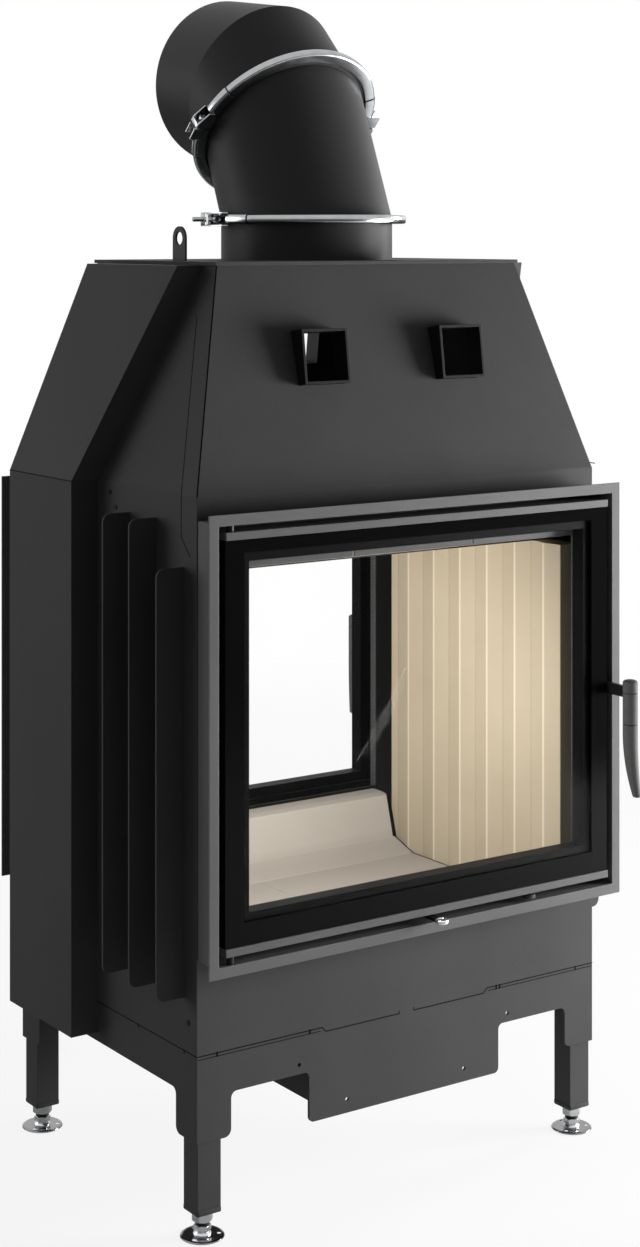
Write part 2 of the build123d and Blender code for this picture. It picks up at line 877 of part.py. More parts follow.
def legs():
    made = []
    half = leg_size / 2
    hollow = half - leg_wall
    top = base_under_z
    for x, y in leg_centres().values():
        leg = block(x - half, x + half, y - half, y + half, leg_bottom_z, top)
        leg -= block(x - hollow, x + hollow, y - hollow, y + hollow, leg_bottom_z + leg_cap, top + past)
        made.append(leg - rod_z(stud_r + running_gap, leg_bottom_z - past, leg_bottom_z + leg_cap + past, x, y))
    return group(made)


def leg_nuts():
    made = []
    for x, y in leg_centres().values():
        hexagon = Plane((x, y, leg_bottom_z - nut_thick)) * RegularPolygon(nut_across / 2, 6, major_radius=False)
        nut = extrude(hexagon, amount=nut_thick)
        made.append(nut - rod_z(stud_r + running_gap, 0, leg_bottom_z + past, x, y))
    return group(made)


def foot(x, y):
    """A pressed disc with a raised boss, and the stud that screws into the leg."""
    disc = rod_z(disc_r, 0, disc_thick, x, y)
    disc += rod_z(boss_r, disc_thick, boss_top_z, x, y)
    disc += rod_z(stud_r, boss_top_z, leg_bottom_z + stud_above, x, y)
    for index in range(foot_hole_count):
        turn = radians(foot_hole_deg + index * 360 / foot_hole_count)
        hole_x = x + foot_hole_reach * cos(turn)
        hole_y = y + foot_hole_reach * sin(turn)
        disc -= rod_z(foot_hole_r, -past, disc_thick + past, hole_x, hole_y)
    return disc


# Flue

def ring_plane():
    """The tilted plane between the leaning segment and the outlet piece."""
    lean = radians(lean_deg)
    tilt = radians(ring_tilt)
    centre = (0, segment_run * sin(lean), flue_ring_z + segment_run * cos(lean))
    return Plane(origin=centre, x_dir=(1, 0, 0), z_dir=(0, sin(tilt), cos(tilt)))


def outlet_plane():
    """The mitre point, looking along the outlet."""
    turn = radians(outlet_deg)
    corner = ring_plane().from_local_coords((0, 0, gore_run))
    return Plane(origin=corner, x_dir=(1, 0, 0), z_dir=(0, sin(turn), cos(turn)))


def tube_on(plane, radius, low, high):
    return extrude(plane.offset(low) * Circle(radius), amount=high - low)


def flue_stub():
    outer = rod_z(flue_r, hood_top_z, flue_ring_z, 0, 0)
    outer += rod_z(lip_r, flue_ring_z - lip_thick, flue_ring_z, 0, 0)
    return outer - rod_z(flue_r - flue_wall, hood_top_z - past, flue_ring_z + past, 0, 0)


def leaning_block(radius, low, high):
    """A leaning round bar between the level ring and the tilted ring."""
    start = Plane((0, 0, flue_ring_z)).offset(low)
    end = ring_plane().offset(-high)
    return loft([(start * Circle(radius)).face(), (end * Circle(radius)).face()], ruled=True)


def lower_elbow():
    low = swivel_gap
    bottom = Plane((0, 0, flue_ring_z))
    body = leaning_block(flue_r, low, 0)
    body += tube_on(bottom, lip_r, low, low + lip_thick)
    body += tube_on(ring_plane(), lip_r, -lip_thick, 0)
    return body - leaning_block(flue_r - flue_wall, low, 0)


def upper_elbow():
    """The short gore from the tilted ring, mitred to the outlet."""
    ring = ring_plane()
    outlet = outlet_plane()
    half_turn = radians((outlet_deg - ring_tilt) / 2)
    middle = radians((outlet_deg + ring_tilt) / 2)
    mitre = Plane(origin=outlet.origin, x_dir=(1, 0, 0), z_dir=(0, sin(middle), cos(middle)))
    spare = flue_r * tan(half_turn) + gore_run / 3

    def bent(radius, start, end):
        gore = tube_on(ring, radius, start, gore_run + spare)
        gore = split(gore, bisect_by=mitre, keep=Keep.BOTTOM)
        spigot = tube_on(outlet, radius, -spare, end)
        return gore + split(spigot, bisect_by=mitre, keep=Keep.TOP)

    body = bent(flue_r, swivel_gap, outlet_run)
    body += tube_on(ring, lip_r, swivel_gap, swivel_gap + lip_thick)
    body -= bent(flue_r - flue_wall - socket_relief, swivel_gap - past, outlet_run + past)
    return body - tube_on(outlet, flue_r - flue_wall, outlet_run - socket_length, outlet_run + past)


def clamp_band(plane, lug_angles):
    """A channel-section band over two lips, split at each lug, with its ears."""
    half = band_height / 2
    inner = lip_r + band_clear
    grip = lip_thick + swivel_gap / 2 + band_clear
    middle = plane.offset(swivel_gap / 2)
    band = tube_on(middle, band_r, -half, half) - tube_on(middle, inner, -grip, grip)
    band -= tube_on(middle, flue_r + band_lip_gap, -half - past, half + past)
    root = (inner + band_r) / 2
    tip = band_r + lug_reach
    for angle in lug_angles:
        local = middle * Rot(0, 0, angle)
        band -= local * Pos(band_r, 0, 0) * Box(2 * lug_reach, lug_gap, 2 * band_height)
        for side in (-1, 1):
            y = side * (lug_gap + lug_thick) / 2
            band += local * Pos((root + tip) / 2, y, 0) * Box(tip - root, lug_thick, 2 * lug_half)
        hole = local * Pos(band_r + lug_reach / 2, 0, 0) * Rot(90, 0, 0)
        band -= hole * Cylinder(clamp_bolt_r + weld_gap, 4 * lug_gap)
    return band


def clamp_bolts(plane, lug_angles):
    """A bolt with its head and nut through each pair of ears."""
    middle = plane.offset(swivel_gap / 2)
    ear_face = lug_gap / 2 + lug_thick
    start = -ear_face - bolt_head_thick
    made = []
    for angle in lug_angles:
        local = middle * Rot(0, 0, angle) * Pos(band_r + lug_reach / 2, 0, 0) * Rot(90, 0, 0)
        shank = local * Pos(0, 0, start + clamp_bolt_length / 2) * Cylinder(clamp_bolt_r, clamp_bolt_length)
        head = local * Pos(0, 0, start) * extrude(RegularPolygon(bolt_head_r, 6), amount=bolt_head_thick)
        nut = local * Pos(0, 0, ear_face) * extrude(RegularPolygon(bolt_nut_r, 6), amount=bolt_nut_thick)
        made.append(shank + head + nut)
    return group(made)


def write_casing():
    front = end_panel(True)
    save("front_panel", front)
    save("rear_panel", turned(end_panel(False)))
    wall = side_wall()
    save("left_wall", wall)
    save("right_wall", mirrored(wall))
    hood = end_hood()
    save("front_hood", hood)
    save("rear_hood", turned(hood))
    side = side_hood()
    save("left_hood", side)
    save("right_hood", mirrored(side))
    save("top_plate", top_plate())
    save("lifting_eye", lifting_eye())
    save("hood_nozzles", nozzles())
    save("side_ducts", both_sides([side_duct()]))
    save("side_fins", side_fins())
    save("side_screws", screws())
    ring = surround()
    save("front_surround", ring)
    save("rear_surround", opposite(ring))
    save("latch_keepers", group([keeper(), opposite(keeper())]))


def write_base():
    save("base_frame", base_frame())
    save("air_box", air_box())
    save("legs", legs())
    save("leg_nuts", leg_nuts())
    for name, (x, y) in leg_centres().items():
        save(f"foot_{name}", foot(x, y))


def write_firebox():
    save("floor_plate", floor_plate())
    save("floor_bricks", floor_bricks())
    save("hearth_curbs", hearth_curbs())
    save("side_linings", group([side_lining(), turned(side_lining())]))
    save("baffle_rests", baffle_rests())
    save("baffle_boards", baffle_boards())


def write_doors():
    pieces = {
        "door_frame": door_frame(),
        "door_glass": door_glass(),
        "door_rails": door_rails(),
        "door_seal": door_seal(),
        "glass_strips": glass_strips(),
        "hinge_pins": hinge_pins(),
        "handle_pivot": handle_pivot(),
        "handle_lever": handle_lever(),
        "handle_grip": handle_grip(),
    }
    for name, piece in pieces.items():
        save(f"front_{name}", piece)
        save(f"rear_{name}", opposite(piece))


def write_slides():
    save("main_air_slide", slide_plate(slide_main_x, slide_main_out))
    save("main_air_knob", slide_knob(slide_main_x, slide_main_out))
    save("second_air_slide", slide_plate(slide_second_x, slide_second_out))
    save("second_air_knob", slide_knob(slide_second_x, slide_second_out))


def write_flue():
    level = Plane((0, 0, flue_ring_z))
    tilted = ring_plane()
    save("flue_stub", flue_stub())
    save("lower_clamp", clamp_band(level, [lower_lug_deg]))
    save("lower_clamp_bolt", clamp_bolts(level, [lower_lug_deg]))
    save("lower_elbow", lower_elbow())
    save("upper_clamp", clamp_band(tilted, [0, 180]))
    save("upper_clamp_bolts", clamp_bolts(tilted, [0, 180]))
    save("upper_elbow", upper_elbow())


os.makedirs("parts", exist_ok=True)
write_casing()
write_base()
write_firebox()
write_doors()
write_slides()
write_flue()
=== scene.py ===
# Double-sided fireplace insert: finishes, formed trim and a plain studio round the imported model.
# Metres, +Z up, the front door faces -Y. The rear door is the front one mirrored front to back.
import math

import bmesh
import bpy
from mathutils import Matrix, Vector


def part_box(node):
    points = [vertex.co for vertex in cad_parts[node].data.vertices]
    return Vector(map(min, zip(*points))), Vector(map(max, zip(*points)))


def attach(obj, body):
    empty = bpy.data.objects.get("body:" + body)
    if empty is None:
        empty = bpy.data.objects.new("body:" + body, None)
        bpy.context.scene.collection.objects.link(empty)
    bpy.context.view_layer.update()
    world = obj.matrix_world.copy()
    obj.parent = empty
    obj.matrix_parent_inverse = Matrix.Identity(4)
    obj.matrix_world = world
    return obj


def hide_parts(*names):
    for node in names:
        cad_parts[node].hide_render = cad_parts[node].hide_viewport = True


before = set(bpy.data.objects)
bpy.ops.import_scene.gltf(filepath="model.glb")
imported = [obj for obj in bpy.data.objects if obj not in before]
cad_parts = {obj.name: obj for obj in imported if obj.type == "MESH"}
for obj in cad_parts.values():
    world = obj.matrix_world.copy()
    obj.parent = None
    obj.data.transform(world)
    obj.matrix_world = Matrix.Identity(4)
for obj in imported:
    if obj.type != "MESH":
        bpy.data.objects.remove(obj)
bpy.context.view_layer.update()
print("frame loaded:", len(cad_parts), "nodes")

halfTurn = Matrix.Rotation(math.pi, 4, "Z")
toRear = Matrix.Scale(-1, 4, (0, 1, 0))


# Shader sums: a socket that can be added, multiplied and so on

class Value:
    def __init__(self, kit, socket):
        self.kit = kit
        self.socket = socket

    def sum(self, operation, first, second):
        return self.kit.node("ShaderNodeMath", {"operation": operation}, {0: first, 1: second})

    def __add__(self, other):
        return self.sum("ADD", self, other)

    def __radd__(self, other):
        return self.sum("ADD", other, self)

    def __sub__(self, other):
        return self.sum("SUBTRACT", self, other)

    def __rsub__(self, other):
        return self.sum("SUBTRACT", other, self)

    def __mul__(self, other):
        return self.sum("MULTIPLY", self, other)

    def __truediv__(self, other):
        return self.sum("DIVIDE", self, other)

    def __pow__(self, other):
        return self.sum("POWER", self, other)

    def __abs__(self):
        return self.sum("ABSOLUTE", self, 0.0)

    def atLeast(self, other):
        return self.sum("MAXIMUM", self, other)

    def atMost(self, other):
        return self.sum("MINIMUM", self, other)

    def clamped(self):
        return self.kit.node("ShaderNodeClamp", {}, {0: self})

    def sign(self):
        return self.sum("SIGN", self, 0.0)

    def fraction(self):
        return self.sum("FRACT", self, 0.0)


class Kit:
    # the nodes of one material, or of the world
    def __init__(self, name, owners=bpy.data.materials):
        self.owner = owners.new(name)
        self.owner.use_nodes = True
        self.tree = self.owner.node_tree
        self.tree.nodes.clear()

    def node(self, kind, settings, inputs, out=0):
        made = self.tree.nodes.new(kind)
        for key, setting in settings.items():
            if key == "stops":
                ramp = made.color_ramp.elements
                while len(ramp) < len(setting):
                    ramp.new(0.5)
                for stop, (at, shade) in zip(ramp, setting):
                    stop.position = at
                    stop.color = (*shade, 1)
            else:
                setattr(made, key, setting)
        for key, given in inputs.items():
            if isinstance(given, Value):
                self.tree.links.new(given.socket, made.inputs[key])
            else:
                made.inputs[key].default_value = given
        return Value(self, made.outputs[out])

    def place(self):
        return self.node("ShaderNodeTexCoord", {}, {}, "Object")

    def axes(self, vector):
        apart = self.node("ShaderNodeSeparateXYZ", {}, {0: vector})
        sockets = apart.socket.node.outputs
        return [Value(self, sockets[index]) for index in range(3)]

    def stretched(self, vector, scale):
        return self.node("ShaderNodeVectorMath", {"operation": "MULTIPLY"}, {0: vector, 1: scale})

    def noise(self, vector, scale, detail=2.0, rough=0.5):
        return self.node("ShaderNodeTexNoise", {}, {"Vector": vector, "Scale": scale, "Detail": detail,
                                                    "Roughness": rough})

    def cells(self, vector, scale, spread=1.0):
        return self.node("ShaderNodeTexVoronoi", {}, {"Vector": vector, "Scale": scale, "Randomness": spread})

    def mixed(self, amount, first, second):
        def shade(given):
            return given if isinstance(given, Value) else (*given, 1)
        return self.node("ShaderNodeMix", {"data_type": "RGBA"}, {0: amount, 6: shade(first), 7: shade(second)}, 2)

    def rounded(self, radius):
        # the normal that softly rounded edges would have
        return self.node("ShaderNodeBevel", {"samples": 6}, {"Radius": radius})

    def edges(self, rounded):
        # 0 on flat faces, rising to 1 along sharp edges
        plain = self.node("ShaderNodeNewGeometry", {}, {}, "Normal")
        facing = self.node("ShaderNodeVectorMath", {"operation": "DOT_PRODUCT"}, {0: rounded, 1: plain}, "Value")
        return ((1 - facing) * 6).clamped()

    def bump(self, height, strength, distance, normal=None):
        inputs = {"Height": height, "Strength": strength, "Distance": distance}
        if normal is not None:
            inputs["Normal"] = normal
        return self.node("ShaderNodeBump", {}, inputs)

    def shader(self, **inputs):
        names = {key.replace("_", " "): given for key, given in inputs.items()}
        names = {key: (*given, 1) if isinstance(given, tuple) and len(given) == 3 else given
                 for key, given in names.items()}
        return self.node("ShaderNodeBsdfPrincipled", {}, names)

    def done(self, shader, output="ShaderNodeOutputMaterial"):
        last = self.tree.nodes.new(output)
        self.tree.links.new(shader.socket, last.inputs["Surface"])
        return self.owner


def paint(name, look):
    # heat-proof paint: faint cloudiness, fine tooth, edges a little lighter, partly rubbed wear and partly a
    # painted highlight
    kit = Kit(name)
    place = kit.place()
    cloud = kit.noise(place, 7.0, 3.0, 0.6)
    speck = kit.noise(place, 240.0, 2.0, 0.6)
    tooth = kit.noise(place, 1500.0, 2.0, 0.7)
    rounded = kit.rounded(look["edgeRadius"])
    rubbedAndHighlit = kit.edges(rounded) * (0.45 + cloud * 0.8)
    tone = kit.mixed(((cloud - 0.35) * 1.6 + (speck - 0.5) * 0.5).clamped(), look["dark"], look["light"])
    # painted highlight: the bevel mask lightens every edge towards the edge colour, on top of slight rubbed wear
    tone = kit.mixed((rubbedAndHighlit * look["edgeLift"]).clamped(), tone, look["edge"])
    if "darkerTone" in look:
        x, y, z = kit.axes(place)
        inside = (look["insideX"] - abs(x)).atMost(look["insideY"] - abs(y))
        inside = inside.atMost((z - look["insideLow"]).atMost(look["insideHigh"] - z))
        tone = kit.mixed((inside * 2000.0).clamped(), tone, look["darkerTone"])
    rough = look["rough"] + (cloud - 0.5) * 0.16 - rubbedAndHighlit * 0.08
    normal = kit.bump(tooth * 0.6 + speck * 0.4, look["tooth"], 0.0004, rounded)
    return kit.done(kit.shader(Base_Color=tone, Roughness=rough, Specular_IOR_Level=look["shine"],
                               Normal=normal))


def bareMetal(name, look):
    # zinc or chrome: brushed along one way, with slightly duller patches
    kit = Kit(name)
    place = kit.place()
    brushed = kit.noise(kit.stretched(place, look["grain"]), 900.0, 3.0, 0.6)
    patch = kit.noise(place, 60.0, 3.0, 0.6)
    rounded = kit.rounded(look["edgeRadius"])
    tone = kit.mixed((patch * 0.8 + brushed * 0.3 - 0.05).clamped(), look["dark"], look["light"])
    rough = look["rough"] + (brushed - 0.5) * look["streak"] + (patch - 0.5) * look["streak"]
    return kit.done(kit.shader(Base_Color=tone, Metallic=1.0, Roughness=rough,
                               Normal=kit.bump(brushed, look["tooth"], 0.0002, rounded)))


def ribLines(kit, place, look):
    # masks for a painted highlight on the crests and painted shade in the grooves of the upright ribs; the left
    # panel's are counted the other way
    x, y, z = kit.axes(place)
    turns = (y * x.sign() + look["crestAt"]) / look["pitch"]
    toCrest = abs((turns + 0.5).fraction() - 0.5) * look["pitch"]
    toGroove = look["pitch"] / 2 - toCrest
    return (1 - toCrest / look["crestHalf"]).clamped(), (1 - toGroove / look["grooveHalf"]).clamped()


def fireclay(name, look):
    # cast fireclay: sandy grain, small dark pits, painted highlights on the edges and rib crests, painted shade in
    # the rib grooves
    kit = Kit(name)
    place = kit.place()
    cloud = kit.noise(place, 9.0, 4.0, 0.6)
    sand = kit.noise(place, 620.0, 3.0, 0.7)
    pits = (1 - kit.cells(place, 260.0) * look["pitSize"]).clamped() * (kit.noise(place, 90.0) - 0.42).clamped()
    rounded = kit.rounded(look["edgeRadius"])
    highlitEdges = kit.edges(rounded)
    height = kit.axes(place)[2]
    # darker towards the bottom, from fadeTop down
    low = ((look["fadeTop"] - height) * look["fadeRate"]).clamped()
    tone = kit.mixed((cloud * 0.9 + (sand - 0.5) * 0.5).clamped(), look["dark"], look["light"])
    tone = kit.mixed(low * look["fade"], tone, look["darkerTone"])
    # painted highlight: the bevel mask lightens every edge towards the edge colour
    tone = kit.mixed((highlitEdges * look["edgeLift"]).clamped(), tone, look["edge"])
    if "pitch" in look:
        crestHighlight, grooveShade = ribLines(kit, place, look)
        # painted highlight along the rib crests, then painted shade along the rib grooves
        tone = kit.mixed(crestHighlight * 0.75, tone, look["edge"])
        tone = kit.mixed(grooveShade * 0.6, tone, look["darkerTone"])
    tone = kit.mixed((pits * 2.2).clamped(), tone, look["pit"])
    normal = kit.bump(sand * 0.5 - pits * 2.0, look["tooth"], 0.0006, rounded)
    return kit.done(kit.shader(Base_Color=tone, Roughness=0.86 + (sand - 0.5) * 0.1, Specular_IOR_Level=0.25,
                               Normal=normal))


def boardFinish(name):
    # pressed mineral board: layered flakes, some of them glinting
    kit = Kit(name)
    place = kit.place()
    flakes = kit.cells(kit.stretched(place, (1.0, 1.0, 2.5)), 420.0)
    cloud = kit.noise(place, 30.0, 4.0, 0.6)
    tone = kit.mixed((flakes * 1.3 + (cloud - 0.5) * 0.6).clamped(), (0.44, 0.35, 0.22), (0.62, 0.53, 0.38))
    return kit.done(kit.shader(Base_Color=tone, Roughness=0.55 + flakes * 0.4,
                               Normal=kit.bump(flakes + cloud * 0.5, 0.5, 0.0008)))


def ropeFinish(name):
    # graphited glass rope: slanted plaits
    kit = Kit(name)
    x, y, z = kit.axes(kit.place())
    plait = kit.node("ShaderNodeMath", {"operation": "SINE"}, {0: (x + z) * 1500.0 + y * 700.0})
    cross = kit.node("ShaderNodeMath", {"operation": "SINE"}, {0: (x - z) * 1500.0 - y * 700.0})
    weave = plait.atLeast(cross) * 0.5 + 0.5
    tone = kit.mixed(weave.clamped(), (0.012, 0.012, 0.013), (0.085, 0.085, 0.09))
    return kit.done(kit.shader(Base_Color=tone, Roughness=0.8, Normal=kit.bump(weave, 0.7, 0.0012)))


def printedGlass(name, look):
    # clear glass ceramic with a glossy black print round the window, its edge fading in a fine screen
    kit = Kit(name)
    place = kit.place()
    x, y, z = kit.axes(place)
    outside = (abs(x) - look["halfWidth"]).atLeast(abs(z - look["middle"]) - look["halfHeight"])
    screen = kit.cells(place, 1300.0, 0.0)
    solid = (outside / look["fade"] + 0.5 + (screen - 0.35) * 0.8).clamped()
    smear = kit.noise(place, 14.0, 4.0, 0.6)
    grazing = kit.node("ShaderNodeLayerWeight", {}, {"Blend": 0.5}, "Facing")
    clear = kit.shader(Base_Color=(0.96, 0.98, 0.97), Metallic=1.0, Roughness=0.03 + smear * 0.02,
                       Alpha=(grazing ** 5 * 0.8 + smear * 0.005).clamped())
    black = kit.shader(Base_Color=kit.mixed(smear, (0.004, 0.004, 0.0041), (0.006, 0.006, 0.0061)),
                       Roughness=0.05 + smear * 0.05, Specular_IOR_Level=look["shine"])
    both = kit.node("ShaderNodeMixShader", {}, {0: solid, 1: clear, 2: black})
    return kit.done(both)


def darkLine(name):
    kit = Kit(name)
    grime = kit.noise(kit.place(), 400.0, 2.0, 0.6)
    tone = kit.mixed(grime, (0.003, 0.003, 0.003), (0.009, 0.009, 0.009))
    return kit.done(kit.shader(Base_Color=tone, Roughness=0.9, Specular_IOR_Level=0.1))


# Linear colours. The casing's paint is near black where it lines the firebox.
paintLooks = {
    "casingPaint": {"dark": (0.062, 0.062, 0.063), "light": (0.078, 0.078, 0.079), "edge": (0.16, 0.16, 0.16),
                    "edgeLift": 0.45, "edgeRadius": 0.0009, "rough": 0.55, "shine": 0.07, "tooth": 0.12,
                    "darkerTone": (0.012, 0.012, 0.012), "insideX": 0.268, "insideY": 0.193, "insideLow": 0.1945,
                    "insideHigh": 0.7718},
    "fluePaint": {"dark": (0.034, 0.034, 0.035), "light": (0.043, 0.043, 0.044), "edge": (0.1, 0.1, 0.1),
                  "edgeLift": 0.4, "edgeRadius": 0.0009, "rough": 0.46, "shine": 0.12, "tooth": 0.12},
    "surroundPaint": {"dark": (0.13, 0.13, 0.131), "light": (0.16, 0.16, 0.161), "edge": (0.36, 0.36, 0.36),
                      "edgeLift": 0.6, "edgeRadius": 0.0008, "rough": 0.5, "shine": 0.12, "tooth": 0.1},
    "railPaint": {"dark": (0.115, 0.115, 0.116), "light": (0.14, 0.14, 0.141), "edge": (0.3, 0.3, 0.3),
                  "edgeLift": 0.5, "edgeRadius": 0.0008, "rough": 0.45, "shine": 0.15, "tooth": 0.1},
    "gripPaint": {"dark": (0.115, 0.115, 0.116), "light": (0.145, 0.145, 0.146), "edge": (0.14, 0.14, 0.14),
                  "edgeLift": 0.2, "edgeRadius": 0.0005, "rough": 0.5, "shine": 0.04, "tooth": 0.08},
    "blackPaint": {"dark": (0.01, 0.01, 0.0103), "light": (0.015, 0.015, 0.0153), "edge": (0.06, 0.06, 0.06),
                   "edgeLift": 0.4, "edgeRadius": 0.0007, "rough": 0.4, "shine": 0.15, "tooth": 0.1},
    "doorPaint": {"dark": (0.003, 0.003, 0.0031), "light": (0.0045, 0.0045, 0.0047), "edge": (0.012, 0.012, 0.012),
                  "edgeLift": 0.4, "edgeRadius": 0.0008, "rough": 0.45, "shine": 0.04, "tooth": 0.1},
}
metalLooks = {
    "clampZinc": {"dark": (0.3, 0.31, 0.32), "light": (0.52, 0.53, 0.54), "grain": (1, 1, 14), "streak": 0.14,
                  "edgeRadius": 0.0004, "rough": 0.2, "tooth": 0.12},
    "brightZinc": {"dark": (0.5, 0.51, 0.52), "light": (0.76, 0.77, 0.78), "grain": (1, 1, 9), "streak": 0.16,
                   "edgeRadius": 0.0003, "rough": 0.26, "tooth": 0.1},
    "knobChrome": {"dark": (0.78, 0.79, 0.8), "light": (0.9, 0.9, 0.9), "grain": (1, 1, 1), "streak": 0.05,
                   "edgeRadius": 0.0003, "rough": 0.07, "tooth": 0.02},
    "footSteel": {"dark": (0.2, 0.2, 0.205), "light": (0.32, 0.32, 0.33), "grain": (1, 1, 1), "streak": 0.06,
                  "edgeRadius": 0.0003, "rough": 0.12, "tooth": 0.02},
}
clayLooks = {
    "ribbedClay": {"dark": (0.37, 0.312, 0.222), "light": (0.45, 0.388, 0.288), "darkerTone": (0.27, 0.225, 0.15),
                   "edge": (0.68, 0.61, 0.49), "pit": (0.3, 0.24, 0.16), "edgeLift": 0.55, "pitSize": 3.4,
                   "edgeRadius": 0.0012, "tooth": 0.3, "fadeTop": 0.42, "fadeRate": 4.0, "fade": 0.3,
                   "pitch": 0.0527, "crestAt": 0.15165, "crestHalf": 0.0026, "grooveHalf": 0.0011},
    "floorClay": {"dark": (0.39, 0.36, 0.32), "light": (0.47, 0.44, 0.4), "darkerTone": (0.3, 0.275, 0.24),
                  "edge": (0.56, 0.53, 0.49), "pit": (0.3, 0.26, 0.21), "edgeLift": 0.4, "pitSize": 3.8,
                  "edgeRadius": 0.0025, "tooth": 0.3, "fadeTop": 0.285, "fadeRate": 60.0, "fade": 0.6},
}
glassLook = {"halfWidth": 0.236, "middle": 0.5266, "halfHeight": 0.19, "fade": 0.0012, "shine": 0.06}

finishes = {name: paint(name, look) for name, look in paintLooks.items()}
finishes.update({name: bareMetal(name, look) for name, look in metalLooks.items()})
finishes.update({name: fireclay(name, look) for name, look in clayLooks.items()})
finishes["baffleBoard"] = boardFinish("baffleBoard")
finishes["sealRope"] = ropeFinish("sealRope")
finishes["doorGlass"] = printedGlass("doorGlass", glassLook)
finishes["darkStrip"] = darkLine("darkStrip")
print("finishes made:", len(finishes))


def dress(finish, *nodes):
    for node in nodes:
        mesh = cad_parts[node].data
        mesh.materials.clear()
        mesh.materials.append(finishes[finish])
        for face in mesh.polygons:
            face.material_index = 0


def bothDoors(*names):
    return [f"{side}_{name}" for side in ("front", "rear") for name in names]


footNames = ["foot_front_left", "foot_front_right", "foot_rear_left", "foot_rear_right"]
dress("casingPaint", "front_panel", "rear_panel", "left_wall", "right_wall", "front_hood", "rear_hood",
      "left_hood", "right_hood", "top_plate", "side_ducts", "side_fins", "base_frame", "air_box", "legs")
dress("blackPaint", "lifting_eye", "hood_nozzles", "side_screws", "floor_plate", "baffle_rests",
      "main_air_slide", "second_air_slide", *bothDoors("handle_lever", "hinge_pins"))
dress("fluePaint", "flue_stub", "lower_elbow", "upper_elbow")
dress("surroundPaint", "front_surround", "rear_surround")
dress("railPaint", *bothDoors("door_rails", "glass_strips"))
dress("doorPaint", *bothDoors("door_frame"))
dress("doorGlass", *bothDoors("door_glass"))
dress("sealRope", *bothDoors("door_seal"))
dress("gripPaint", *bothDoors("handle_grip"))
dress("knobChrome", "main_air_knob", "second_air_knob")
dress("brightZinc", "latch_keepers", "leg_nuts", *bothDoors("handle_pivot"))
dress("footSteel", *footNames)
dress("clampZinc", "lower_clamp", "lower_clamp_bolt", "upper_clamp", "upper_clamp_bolts")
dress("ribbedClay", "side_linings")
dress("floorClay", "floor_bricks", "hearth_curbs")
dress("baffleBoard", "baffle_boards")
print("packed nodes dressed")


# Mesh making

def addPiece(name, mesh, finish, body, replaced=(), smooth=math.radians(35)):
    bmesh.ops.recalc_face_normals(mesh, faces=mesh.faces)
    data = bpy.data.meshes.new(name)
    mesh.to_mesh(data)
    mesh.free()
    data.materials.append(finishes[finish])
    piece = bpy.data.objects.new(name, data)
    bpy.context.scene.collection.objects.link(piece)
    if smooth:
        data.shade_smooth()
        data.set_sharp_from_angle(angle=smooth)
    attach(piece, body)
    if replaced:
        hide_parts(*replaced)


def addRings(mesh, rings, capped=True):
    # a skin through rings of equally many points: capped at both ends, or closed on itself
    loops = [[mesh.verts.new(point) for point in ring] for ring in rings]
    bands = list(zip(loops, loops[1:]))
    if capped:
        mesh.faces.new(loops[0][::-1])
        mesh.faces.new(loops[-1])
    else:
        bands.append((loops[-1], loops[0]))
    for low, high in bands:
        for index in range(len(low)):
            mesh.faces.new((low[index - 1], low[index], high[index], high[index - 1]))


def circleAt(radius, height, place, steps):
    angles = [2 * math.pi * step / steps for step in range(steps)]
    return [place @ Vector((radius * math.cos(a), radius * math.sin(a), height)) for a in angles]


def turnedBar(mesh, profile, place, steps):
    # a solid of revolution about the local Z axis, from (radius, height) steps
    addRings(mesh, [circleAt(radius, height, place, steps) for radius, height in profile])


def turnedRing(mesh, profile, place, steps):
    # the same with a hole: the profile closes on itself
    addRings(mesh, [circleAt(radius, height, place, steps) for radius, height in profile], capped=False)


def sweptBand(mesh, profile, start, end, steps, place):
    # a (radius, height) section carried round the local Z axis between two angles in degrees
    rings = []
    for step in range(steps + 1):
        turn = math.radians(start + (end - start) * step / steps)
        rings.append([place @ Vector((r * math.cos(turn), r * math.sin(turn), z)) for r, z in profile])
    addRings(mesh, rings)


def addBlock(mesh, size, place, bevel):
    made = bmesh.ops.create_cube(mesh, size=1.0, matrix=place @ Matrix.Diagonal((*size, 1)))
    edges = {edge for vert in made["verts"] for edge in vert.link_edges}
    bmesh.ops.bevel(mesh, geom=list(edges), offset=bevel, segments=2, affect="EDGES", profile=0.6)


def hexReach(angle, across):
    turn = (angle + math.pi / 6) % (math.pi / 3) - math.pi / 6
    return across / 2 / math.cos(turn)


def hexNut(mesh, across, thick, bore, place):
    # a hexagon whose corners are turned off by a cone at its faces
    flat = across / 2 * 0.98
    steps = 48
    angles = [2 * math.pi * step / steps for step in range(steps)]
    reaches = [hexReach(angle, across) for angle in angles]

    def ring(radii, heights):
        return [place @ Vector((r * math.cos(a), r * math.sin(a), z))
                for r, a, z in zip(radii, angles, heights)]

    turned = [min(reach, flat) for reach in reaches]
    falls = [max(reach - flat, 0) * 0.55 for reach in reaches]
    inside = [bore] * steps
    low = [0] * steps
    high = [thick] * steps
    rings = [ring(inside, low), ring(turned, low), ring(reaches, falls),
             ring(reaches, [thick - fall for fall in falls]), ring(turned, high), ring(inside, high)]
    addRings(mesh, rings, capped=False)


def thread(radius, depth, low, high, pitch):
    # (radius, height) steps of a cut thread
    steps = []
    height = low
    while height + pitch <= high:
        steps += [(radius - depth, height), (radius, height + 0.35 * pitch), (radius, height + 0.6 * pitch)]
        height += pitch
    return [(radius - depth, low - 0.0001)] + steps + [(radius - depth, height), (radius - depth, high)]


# Flue clamps: a rounded channel band with sleeves, brackets and a long screw at each gap

